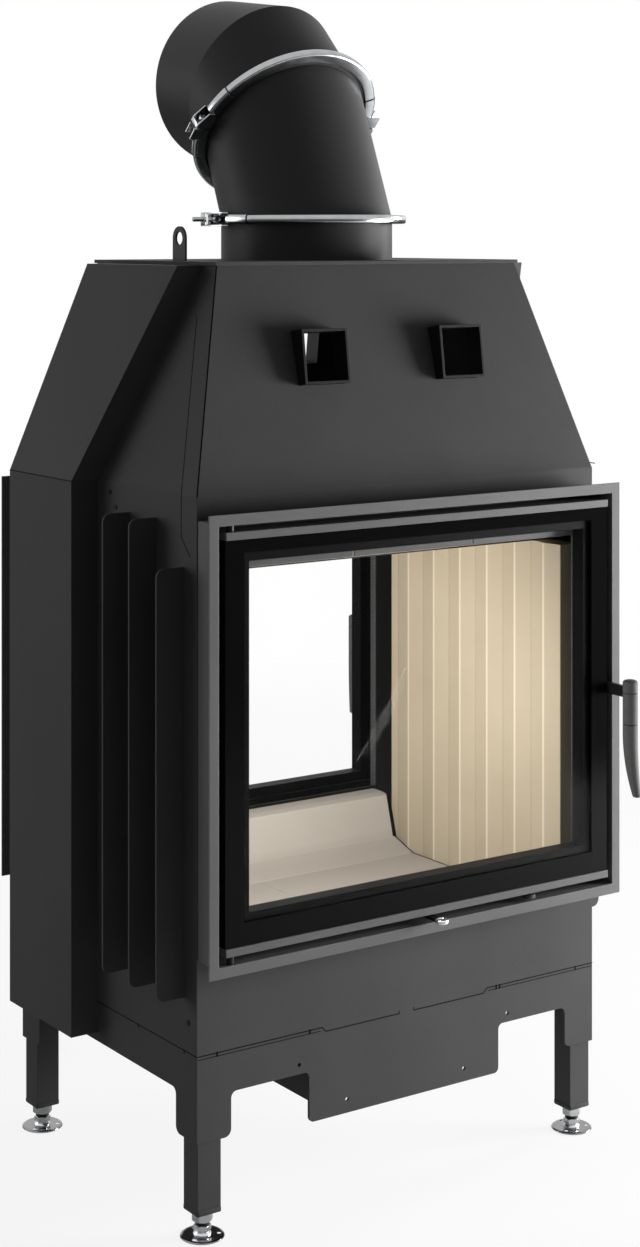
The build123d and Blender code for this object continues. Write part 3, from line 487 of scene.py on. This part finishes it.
clamp = {
    "outer": 0.1161, "inner": 0.1032, "half": 0.005, "wall": 0.0013, "round": 0.003,
    "gapDeg": 35.0, "sleeveDeg": 16.0, "sleeveProud": 0.0008, "jointDeg": 0.7, "jointProud": 0.0003,
    "bracketHalf": 0.0072, "bracketSheet": 0.0014, "bracketInner": 0.1045, "webAt": 0.1272, "webHalf": 0.0065,
    "nearEnd": 0.035, "farEnd": 0.026, "farWide": 0.009, "barrel": 0.0042, "barrelAt": 0.0165,
    "screwRadius": 0.003, "screwAt": 0.1135, "screwLong": 0.05, "headRadius": 0.0047, "headLong": 0.006,
    "headStart": 0.42, "socket": 0.0024, "socketDeep": 0.0028, "studRadius": 0.0028, "studEnd": 0.1395,
    "corner": 0.004, "slant": 0.006, "cheekEnd": 0.0115, "loopShare": 0.86, "loopGap": 0.003, "screwBack": 0.006,
}
# the upper clamp's ends meet closer, in shorter brackets, and it has no stud
upperClamp = {**clamp, "gapDeg": 20.0, "nearEnd": 0.0195, "farEnd": 0.021, "farWide": 0.021, "barrelAt": 0.0125,
              "screwAt": 0.1165, "webAt": 0.1245, "webHalf": 0.003, "screwLong": 0.036, "studEnd": 0.0}


def bandSection(look, proud=0.0):
    # the channel's section, rounded on its outside
    outer = look["outer"] + proud
    half = look["half"] + proud
    bend = look["round"] + proud
    wall = look["wall"]
    outside = [(look["inner"], -half)]
    for step in range(7):
        turn = math.radians(-90 + 15 * step)
        outside.append((outer - bend + bend * math.cos(turn), -half + bend + bend * math.sin(turn)))
    crown = [(outer + 0.0004, 0.0)]
    upper = [(radius, -height) for radius, height in reversed(outside)]
    inside = [(look["inner"], half - wall), (outer - wall - 0.001, half - wall),
              (outer - wall, half - wall - 0.001), (outer - wall, -half + wall + 0.001),
              (outer - wall - 0.001, -half + wall), (look["inner"], -half + wall)]
    return outside + crown + upper + inside


def screwAlong(mesh, look, place):
    # a socket-head screw along the local Z axis, its head at the low end
    head = look["headRadius"]
    long = look["headLong"]
    socket = look["socket"]
    start = -look["screwLong"] * look["headStart"]
    profile = [(socket, start + look["socketDeep"]), (socket, start + 0.0001), (socket + 0.0004, start),
               (head - 0.0006, start), (head, start + 0.0006), (head, start + long - 0.0003),
               (head - 0.0003, start + long), (look["screwRadius"], start + long)]
    turnedBar(mesh, profile, place, 30)
    end = start + look["screwLong"]
    turnedBar(mesh, thread(look["screwRadius"], 0.0005, start + long, end, 0.0012), place, 18)


def clampHardware(mesh, look, angle, place):
    # a U bracket on one band end, a barrel loop on the other, the screw through both and a stud standing out
    local = place @ Matrix.Rotation(math.radians(angle), 4, "Z")
    sheet = look["bracketSheet"]
    inner = look["bracketInner"]
    web = look["webAt"]
    half = look["webHalf"]
    near = look["nearEnd"]
    far = -look["farEnd"]
    wide = inner + look["farWide"]
    corner = look["corner"]
    cheek = [(inner + corner, near), (inner, near - look["slant"]), (inner, -half), (web, -half),
             (web, half), (inner + look["cheekEnd"], near)]
    loop = [(inner, far + corner), (inner + corner, far), (wide, far),
            (wide, -half - look["loopGap"]), (inner, -half - look["loopGap"])]
    loopHalf = look["bracketHalf"] * look["loopShare"]
    for level in (-1, 1):
        addPlate(mesh, cheek, level * look["bracketHalf"], sheet, local)
        addPlate(mesh, loop, level * loopHalf, sheet, local)
    addBlock(mesh, (sheet, 2 * half, 2 * look["bracketHalf"]), local @ Matrix.Translation((web, 0, 0)), 0.0004)
    radius = look["barrel"]
    tall = 2 * loopHalf
    barrel = local @ Matrix.Translation((look["screwAt"], -look["barrelAt"], -loopHalf))
    turnedBar(mesh, [(radius - 0.0006, 0.0), (radius, 0.0006), (radius, tall - 0.0006), (radius - 0.0006, tall)],
              barrel, 20)
    screw = Matrix.Translation((look["screwAt"], -look["screwBack"], 0)) @ Matrix.Rotation(math.radians(90), 4, "X")
    screwAlong(mesh, look, local @ screw)
    if look["studEnd"]:
        stud = local @ Matrix.Rotation(math.radians(90), 4, "Y")
        turnedBar(mesh, thread(look["studRadius"], 0.0004, web, look["studEnd"], 0.0012), stud, 18)


def addPlate(mesh, outline, height, thick, place):
    # a flat plate from an (X, Y) outline
    rings = [[place @ Vector((x, y, height + level * thick / 2)) for x, y in outline] for level in (-1, 1)]
    addRings(mesh, rings)


def ringPlace(centre, tilt):
    # the local Z axis leans back by the tilt, the local X axis stays on X
    return Matrix.Translation(centre) @ Matrix.Rotation(-math.radians(tilt), 4, "X")


def addClamp(name, look, angles, place, body, replaced):
    mesh = bmesh.new()
    half = look["gapDeg"] / 2
    turns = sorted(angles)
    for index, angle in enumerate(turns):
        after = turns[(index + 1) % len(turns)] + (360 if index + 1 == len(turns) else 0)
        sweptBand(mesh, bandSection(look), angle + half, after - half, 96 // len(turns), place)
        sleeve = bandSection(look, look["sleeveProud"])
        sweptBand(mesh, sleeve, angle + half, angle + half + look["sleeveDeg"], 8, place)
        sweptBand(mesh, sleeve, after - half - look["sleeveDeg"], after - half, 8, place)
    for angle in turns:
        clampHardware(mesh, look, angle, place)
    addPiece(name, mesh, "clampZinc", body, replaced)
    mesh = bmesh.new()
    reach = half + look["sleeveDeg"]
    wide = look["jointDeg"]
    for angle in turns:
        for start in (angle + reach, angle - reach - wide):
            sweptBand(mesh, bandSection(look, look["jointProud"]), start, start + wide, 1, place)
    addPiece(name + "Joints", mesh, "darkStrip", body)


# the upper ring stands one run above the lower one and leans back by the tilt, the run by half of it
flue = {"height": 1.0606, "run": 0.1217, "tilt": 45, "halfGap": 0.0002, "lowerTurns": [166], "upperTurns": [0, 180]}
tilt = math.radians(flue["tilt"])
lowerRing = ringPlace((0, 0, flue["height"] + flue["halfGap"]), 0)
upperCentre = Vector((0, flue["run"] * math.sin(tilt / 2), flue["height"] + flue["run"] * math.cos(tilt / 2)))
upperRing = ringPlace(upperCentre + flue["halfGap"] * Vector((0, math.sin(tilt), math.cos(tilt))), flue["tilt"])
addClamp("lowerClampBand", clamp, flue["lowerTurns"], lowerRing, "casing", ["lower_clamp", "lower_clamp_bolt"])
addClamp("upperClampBand", upperClamp, flue["upperTurns"], upperRing, "lower_flue",
         ["upper_clamp", "upper_clamp_bolts"])
print("clamps made")


# Door handle grips: lathe-turned sleeves on a swept core, domed at the top

grip = {
    "x": 0.2618, "y": -0.2695, "top": 0.537, "long": 0.1325, "radius": 0.0086, "endRadius": 0.0046,
    "sweep": 0.0082, "sweepX": 0.0027, "straight": 0.45, "steps": 60, "dome": 0.003, "domeFlat": 0.25,
    "endDome": 0.0015, "endFlat": 0.6, "lines": (0.5222, 0.4866), "lineDeep": 0.0004, "lineHalf": 0.0005,
    "ringInner": 0.0077, "ringOuter": 0.0083, "ringHalf": 0.0003,
}


def domeShare(depth, dome, flat):
    # what the radius keeps at a depth below a domed end, whose tip keeps the flat share
    if depth >= dome:
        return 1.0
    return flat + (1 - flat) * math.sqrt(max(0.0, 1 - (1 - depth / dome) ** 2))


def gripRings(look):
    top = look["top"]
    long = look["long"]
    half = look["lineHalf"]
    nearEnds = 0.00001
    heights = {top - long * step / look["steps"] for step in range(1, look["steps"])}
    heights |= {line + reach for line in look["lines"] for reach in (-2 * half, -half, half, 2 * half)}
    for step in range(1, 7):
        depth = 1 - math.cos(math.radians(15 * step))
        heights |= {top - look["dome"] * depth, top - long + look["endDome"] * depth}
    heights |= {top - nearEnds, top - long + nearEnds}
    rings = []
    for height in sorted(heights):
        share = (top - height) / long
        bend = max(0.0, (share - look["straight"]) / (1 - look["straight"])) ** 2
        radius = look["radius"] - (look["radius"] - look["endRadius"]) * bend
        if any(abs(height - line) <= half * 1.01 for line in look["lines"]):
            radius -= look["lineDeep"]
        radius *= domeShare(top - height, look["dome"], look["domeFlat"])
        radius *= domeShare(height - top + long, look["endDome"], look["endFlat"])
        centre = (look["x"] + look["sweepX"] * bend, look["y"] - look["sweep"] * bend, height)
        rings.append(circleAt(radius, 0, Matrix.Translation(centre), 36))
    return rings


for side, turn in (("front", Matrix.Identity(4)), ("rear", toRear)):
    mesh = bmesh.new()
    addRings(mesh, gripRings(grip))
    mesh.transform(turn)
    addPiece(f"{side}Grip", mesh, "gripPaint", f"{side}_handle", [f"{side}_handle_grip"])
    mesh = bmesh.new()
    inner, outer, half = grip["ringInner"], grip["ringOuter"], grip["ringHalf"]
    for line in grip["lines"]:
        place = Matrix.Translation((grip["x"], grip["y"], line))
        turnedRing(mesh, [(inner, -half), (outer, -half), (outer, half), (inner, half)], place, 36)
    mesh.transform(turn)
    addPiece(f"{side}GripLines", mesh, "darkStrip", f"{side}_handle")
print("grips made")


# Air knobs: turned discs with dished faces

knob = {
    "radius": 0.0075, "half": 0.0025, "round": 0.0016, "dish": 0.0007, "dishWide": 0.5, "lipWide": 0.62,
    "tip": 0.0006, "mainAt": (0.008, -0.248, 0.3002), "secondAt": (0.147, -0.2275, 0.3002),
}


def addKnob(name, finish, body, node, centre):
    mesh = bmesh.new()
    edge = knob["radius"]
    half = knob["half"]
    bend = knob["round"]
    floorOfDish = -half + knob["dish"]
    profile = [(knob["tip"], floorOfDish), (edge * knob["dishWide"], floorOfDish), (edge * knob["lipWide"], -half)]
    profile += [(edge - bend + bend * math.sin(math.radians(15 * step)),
                 -half + bend - bend * math.cos(math.radians(15 * step))) for step in range(7)]
    profile += [(radius, -height) for radius, height in reversed(profile)]
    turnedBar(mesh, profile, Matrix.Translation(centre), 48)
    addPiece(name, mesh, finish, body, [node])


addKnob("mainKnob", "knobChrome", "main_air", "main_air_knob", knob["mainAt"])
# painted shade: the second knob gets the casing's dark paint instead of chrome, standing in for the surround's
# shadow over it
addKnob("secondKnob", "casingPaint", "second_air", "second_air_knob", knob["secondAt"])
print("knobs made")


# Levelling feet, their lock nuts and the plugs in the ends of the legs

foot = {
    "disc": 0.0234, "thick": 0.0025, "sheet": 0.0005, "holeAt": 0.0175, "hole": 0.00225, "firstHole": 90,
    "bore": 0.0078, "stud": 0.005, "studTop": 0.0527, "lockLow": 0.0165, "lockThick": 0.0085, "lockAcross": 0.0192,
    "lockTurn": 11, "rimAt": 0.003,
}
# (radius, height) steps of the boss on the disc and of the washer on the lock nut
bossProfile = [(0.0086, 0.0002), (0.0094, 0.0027), (0.0096, 0.0034), (0.009, 0.0046), (0.0078, 0.0054),
               (0.007, 0.0068)]
washerProfile = [(0.0056, 0.025), (0.0118, 0.025), (0.0122, 0.0253), (0.0122, 0.0262), (0.0056, 0.0262)]
legEnd = {"half": 0.0147, "low": 0.0265, "high": 0.0322, "round": 0.0015}


def addPunchedSheet(mesh, rims, thick):
    # a flat sheet inside the first rim with the other rims as holes, its top at their height
    edges = []
    for rim in rims:
        loop = [mesh.verts.new(point) for point in rim]
        edges += [mesh.edges.new((a, b)) for a, b in zip(loop, loop[1:] + loop[:1])]
    filled = bmesh.ops.triangle_fill(mesh, edges=edges, use_beauty=True, normal=(0, 0, 1))
    faces = [item for item in filled["geom"] if isinstance(item, bmesh.types.BMFace)]
    pushed = bmesh.ops.extrude_face_region(mesh, geom=faces, use_keep_orig=True)
    lower = [item for item in pushed["geom"] if isinstance(item, bmesh.types.BMVert)]
    bmesh.ops.translate(mesh, verts=lower, vec=(0, 0, -thick))


def addFoot(name, x, y):
    place = Matrix.Translation((x, y, 0))
    mesh = bmesh.new()
    disc = foot["disc"]
    thick = foot["thick"]
    inner = disc - foot["rimAt"]
    turnedRing(mesh, [(disc - 0.0008, 0.0), (disc, 0.0006), (disc - 0.0003, 0.0016), (disc - 0.0012, 0.0022),
                      (inner, thick), (inner, thick - foot["sheet"]), (disc - 0.0018, 0.0013),
                      (disc - 0.0014, 0.0)], place, 72)
    rims = [circleAt(inner, thick, place, 72), circleAt(foot["bore"], thick, place, 36)]
    for index in range(3):
        turn = math.radians(foot["firstHole"] + 120 * index)
        across = foot["holeAt"] * Vector((math.cos(turn), math.sin(turn), 0))
        rims.append(circleAt(foot["hole"], thick, place @ Matrix.Translation(across), 20))
    addPunchedSheet(mesh, rims, foot["sheet"])
    addPiece(name + "Disc", mesh, "footSteel", name)
    mesh = bmesh.new()
    turnedBar(mesh, bossProfile, place, 48)
    hexNut(mesh, 0.0165, 0.006, 0.004, place @ Matrix.Translation((0, 0, 0.0065)))
    turnedBar(mesh, thread(foot["stud"], 0.0006, 0.0182, foot["studTop"], 0.0015), place, 28)
    addPiece(name + "Stud", mesh, "brightZinc", name, [name])
    mesh = bmesh.new()
    turnedBar(mesh, thread(0.0076, 0.0007, 0.0123, 0.0168, 0.0015), place, 36)
    addPiece(name + "Thread", mesh, "blackPaint", name)


legPlaces = {}
for node in footNames:
    low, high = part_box(node)
    legPlaces[node] = ((low.x + high.x) / 2, (low.y + high.y) / 2)
    addFoot(node, *legPlaces[node])

mesh = bmesh.new()
for x, y in legPlaces.values():
    turned = Matrix.Rotation(math.radians(foot["lockTurn"]), 4, "Z")
    hexNut(mesh, foot["lockAcross"], foot["lockThick"], foot["stud"] + 0.00005,
           Matrix.Translation((x, y, foot["lockLow"])) @ turned)
    turnedRing(mesh, washerProfile, Matrix.Translation((x, y, 0)), 40)
addPiece("lockNuts", mesh, "brightZinc", "casing", ["leg_nuts"])


def roundedSquare(half, bend, height, x, y):
    points = []
    straight = half - bend
    for quarter, (sideX, sideY) in enumerate([(1, 1), (-1, 1), (-1, -1), (1, -1)]):
        for step in range(5):
            turn = math.radians(90 * quarter + 22.5 * step)
            points.append(Vector((x + sideX * straight + bend * math.cos(turn),
                                  y + sideY * straight + bend * math.sin(turn), height)))
    return points


mesh = bmesh.new()
half, bend, low, high = legEnd["half"], legEnd["round"], legEnd["low"], legEnd["high"]
for x, y in legPlaces.values():
    rings = [roundedSquare(half - 0.0042, 0.001, low - 0.0006, x, y),
             roundedSquare(half - 0.0006, bend, low + 0.0004, x, y),
             roundedSquare(half, bend, low + 0.0014, x, y),
             roundedSquare(half, bend, high - 0.0008, x, y),
             roundedSquare(half - 0.0005, bend, high, x, y),
             roundedSquare(half - 0.0022, bend, high, x, y),
             roundedSquare(half - 0.0022, bend, low + 0.0004, x, y)]
    addRings(mesh, rings, capped=False)
addPiece("legPlugs", mesh, "casingPaint", "casing")
print("feet and leg ends made")


# Seams between the casing's sheets, with the small tabs that hold them together

seam = {
    "wide": 0.0012, "lowerWide": 0.0009, "returnWide": 0.0013, "proud": 0.00012, "faceX": 0.27, "faceY": -0.195,
    "baseTop": 0.194, "plate": 0.0034, "reach": 0.269, "tongueHalf": 0.108, "tongueDrop": 0.005, "gapHalf": 0.01,
    "tickTall": 0.003, "slotWide": 0.0022, "slotOver": 0.0004, "ductFront": 0.015, "ductRear": 0.163,
    "frontSlots": (-0.2455, -0.1289, 0.1263, 0.1313, 0.2439), "leftSlots": (-0.1697, -0.0755),
}
# the hood leans in between low and high; small tabs interrupt the line of the sheet's return
hood = {"low": 0.772, "high": 1.01, "lean": 0.064, "lineTop": 0.955, "lineY": -0.164, "tabs": (0.785, 0.842, 0.895),
        "tabHalf": 0.001, "tailLow": 0.728, "tailY": -0.1815, "tailEnd": 0.709}
fold = {"cornerLow": (-0.2697, -0.1947, 0.772), "cornerHigh": (-0.2059, -0.1309, 1.01), "cornerWide": 0.0016,
        "ductX": -0.303, "ductRun": (0.0155, 0.1625), "ductZ": 0.772, "ductWide": 0.0011}
hearth = {"x": 0.2313, "middle": 0.2621, "flatHalf": 0.1, "toeY": 0.14, "toe": 0.2751, "topY": 0.154, "top": 0.3246,
          "floorWide": 0.0018, "faceWide": 0.0052}


def addDarkStrip(mesh, points, facing, wide=seam["wide"]):
    # a thin dark strip along a line of points on a surface that faces one way
    facing = Vector(facing).normalized()
    for start, end in zip(points, points[1:]):
        a, b = Vector(start), Vector(end)
        along = (b - a).normalized()
        across = facing.cross(along) * wide / 2
        lift = facing * seam["proud"]
        corners = [a - across - along * wide / 4, a + across - along * wide / 4,
                   b + across + along * wide / 4, b - across + along * wide / 4]
        low = [mesh.verts.new(corner - lift) for corner in corners]
        high = [mesh.verts.new(corner + lift) for corner in corners]
        mesh.faces.new(low[::-1])
        mesh.faces.new(high)
        for index in range(4):
            after = (index + 1) % 4
            mesh.faces.new((low[index], low[after], high[after], high[index]))


def frontSeams(mesh):
    # the lip of the front sheet over the base plate, with a dropped tongue in its middle
    y = seam["faceY"]
    top = seam["baseTop"]
    low = top - seam["plate"]
    drop = seam["tongueDrop"]
    dropped = top - drop
    half = seam["tongueHalf"]
    front = (0, -1, 0)
    for side in (-1, 1):
        reach = side * seam["reach"]
        gap = side * seam["gapHalf"]
        addDarkStrip(mesh, [(reach, y, top), (side * (half + drop), y, top), (side * half, y, dropped),
                       (gap, y, dropped)], front)
        addDarkStrip(mesh, [(reach, y, low), (side * (half + drop + 0.002), y, low)], front, seam["lowerWide"])
        addDarkStrip(mesh, [(gap, y, dropped), (gap, y, dropped + seam["tickTall"])], front)
    for x in seam["frontSlots"]:
        addDarkStrip(mesh, [(x, y, low - 0.0002), (x, y, top + seam["slotOver"])], front, seam["slotWide"])


def leftSeams(mesh):
    x = -seam["faceX"]
    left = (-1, 0, 0)
    top = seam["baseTop"]
    addDarkStrip(mesh, [(x, seam["faceY"], top), (x, seam["ductFront"], top)], left)
    addDarkStrip(mesh, [(x, seam["ductRear"], top), (x, -seam["faceY"], top)], left)
    for y in seam["leftSlots"]:
        addDarkStrip(mesh, [(x, y, top - seam["tickTall"]), (x, y, top + seam["slotOver"])], left, seam["slotWide"])


def hoodSeam(mesh, mirrorY):
    # the front sheet's return on the left side, down the hood and round its tab
    rise = hood["high"] - hood["low"]

    def spot(z):
        lean = (z - hood["low"]) / rise * hood["lean"]
        return (lean - seam["faceX"], mirrorY * (hood["lineY"] + lean), z)

    ends = [z for tab in hood["tabs"] for z in (tab - hood["tabHalf"], tab + hood["tabHalf"])]
    runs = [hood["low"], *ends, hood["lineTop"]]
    for low, high in zip(runs[::2], runs[1::2]):
        addDarkStrip(mesh, [spot(low), spot(high)], (-rise, 0, hood["lean"]), seam["returnWide"])
    tail = [(hood["lineY"], hood["low"]), (hood["lineY"], hood["tailLow"]), (hood["tailY"], hood["tailEnd"])]
    addDarkStrip(mesh, [(-seam["faceX"], mirrorY * y, z) for y, z in tail], (-1, 0, 0), seam["returnWide"])


def foldLines(mesh):
    # the open joint up the hood's front corner, and a painted shade line along the fold across the side duct
    addDarkStrip(mesh, [fold["cornerLow"], fold["cornerHigh"]], (-1, -1, 0.38), fold["cornerWide"])
    # painted shade: a dark strip where the duct's sheet is folded, with no joint there
    across = [(fold["ductX"], y, fold["ductZ"]) for y in fold["ductRun"]]
    addDarkStrip(mesh, across, (-1, 0, 0), fold["ductWide"])


def hearthLines(mesh):
    # the dark gap between the linings and the hearth, up the face of each block
    for side in (-1, 1):
        x = side * hearth["x"]
        for turn in (-1, 1):
            toe = (x, turn * hearth["toeY"], hearth["toe"])
            level = [(x, 0, hearth["middle"]), (x, turn * hearth["flatHalf"], hearth["middle"]), toe]
            addDarkStrip(mesh, level, (0, 0, 1), hearth["floorWide"])
            crest = (x, turn * hearth["topY"], hearth["top"])
            addDarkStrip(mesh, [toe, crest], (0, -turn * 0.96, 0.27), hearth["faceWide"])


mesh = bmesh.new()
frontSeams(mesh)
leftSeams(mesh)
foldLines(mesh)
hoodSeam(mesh, 1)
hoodSeam(mesh, -1)
copied = bmesh.ops.duplicate(mesh, geom=mesh.verts[:] + mesh.edges[:] + mesh.faces[:])
copiedVerts = [item for item in copied["geom"] if isinstance(item, bmesh.types.BMVert)]
bmesh.ops.transform(mesh, matrix=halfTurn, verts=copiedVerts)      # the same on the back and the right
hearthLines(mesh)
addPiece("casingSeamsAndFoldShade", mesh, "darkStrip", "casing", smooth=0)
print("seams made")


# Studio: pale floor, soft lamps, the photograph's camera

studio = {"floor": (0.9, 0.9, 0.9), "floorSize": 60.0, "floorDrop": 0.0005, "glowNear": 0.88, "farFrom": 0.5,
          "farRun": 8, "air": 0.055}
lamps = {
    "key": {"at": (1.9, -1.0, 0.5), "aim": (0, -0.1, 0.5), "size": 1.0, "power": 86.0},
    "rim": {"at": (2.3, 0.1, 1.3), "aim": (0, 0, 0.95), "size": 0.5, "power": 18.0},
    "side": {"at": (-2.4, 1.9, 1.0), "aim": (-0.2, 0, 0.6), "size": 1.8, "power": 22.0},
    "hearth": {"at": (-0.1, -0.185, 0.56), "aim": (0.1, 0.1, 0.42), "size": 0.18, "power": 2.3},
}


def addLamp(name, look):
    data = bpy.data.lights.new(name, "AREA")
    data.shape = "DISK"
    data.size = look["size"]
    data.energy = look["power"]
    lamp = bpy.data.objects.new(name, data)
    lamp.location = look["at"]
    lamp.rotation_euler = (Vector(look["aim"]) - Vector(look["at"])).to_track_quat("-Z", "Y").to_euler()
    lamp.visible_camera = False
    bpy.context.scene.collection.objects.link(lamp)


for name, look in lamps.items():
    addLamp(name, look)

floorMesh = bmesh.new()
bmesh.ops.create_circle(floorMesh, cap_ends=True, radius=studio["floorSize"], segments=64)
floorData = bpy.data.meshes.new("floor")
floorMesh.to_mesh(floorData)
floorMesh.free()
floor = bpy.data.objects.new("floor", floorData)
floor.location = (0, 0, -studio["floorDrop"])
bpy.context.scene.collection.objects.link(floor)

# the floor glows for the camera, all but white near the feet so that their shadow stays, and white further off
kit = Kit("floorPale")
across, along, up = kit.axes(kit.place())
far = ((across * across + along * along - studio["farFrom"]) / studio["farRun"]).clamped()
path = kit.node("ShaderNodeLightPath", {}, {}, "Is Camera Ray")
matt = kit.shader(Base_Color=studio["floor"], Roughness=0.9, Specular_IOR_Level=0.1)
glow = kit.node("ShaderNodeEmission", {}, {"Color": (1, 1, 1, 1), "Strength": 1.0})
share = path * (studio["glowNear"] + far * (1 - studio["glowNear"]))
floorData.materials.append(kit.done(kit.node("ShaderNodeMixShader", {}, {0: share, 1: matt, 2: glow})))

# the world is white to look at, to reflect and to look at through glass, and lights the object only faintly
kit = Kit("studio", bpy.data.worlds)
straight = kit.node("ShaderNodeLightPath", {}, {}, "Is Camera Ray")
mirrored = kit.node("ShaderNodeLightPath", {}, {}, "Is Glossy Ray")
through = kit.node("ShaderNodeLightPath", {}, {}, "Is Transmission Ray")
seen = (straight + mirrored + through).clamped()
strength = seen * (1 - studio["air"]) + studio["air"]
backdrop = kit.node("ShaderNodeBackground", {}, {"Color": (1, 1, 1, 1), "Strength": strength})
bpy.context.scene.world = kit.done(backdrop, "ShaderNodeOutputWorld")

# the photograph's camera, in pixels of its full frame: level, with the horizon moved up by a shift
view = {"at": (-1.5018, -2.2029, 1.0443), "yaw": 34.62, "focal": 2279.61, "horizonRow": 233.62, "height": 1247,
        "sensor": 36, "farthest": 200}
cameraData = bpy.data.cameras.new("camera")
cameraData.sensor_fit = "AUTO"
cameraData.sensor_width = view["sensor"]
cameraData.lens = view["focal"] / view["height"] * view["sensor"]
cameraData.shift_y = -(view["height"] / 2 - view["horizonRow"]) / view["height"]
cameraData.clip_end = view["farthest"]
camera = bpy.data.objects.new("camera", cameraData)
camera.location = view["at"]
camera.rotation_euler = (math.radians(90), 0, -math.radians(view["yaw"]))
bpy.context.scene.collection.objects.link(camera)
bpy.context.scene.camera = camera
bpy.context.scene.view_settings.view_transform = "Standard"
print("studio made")
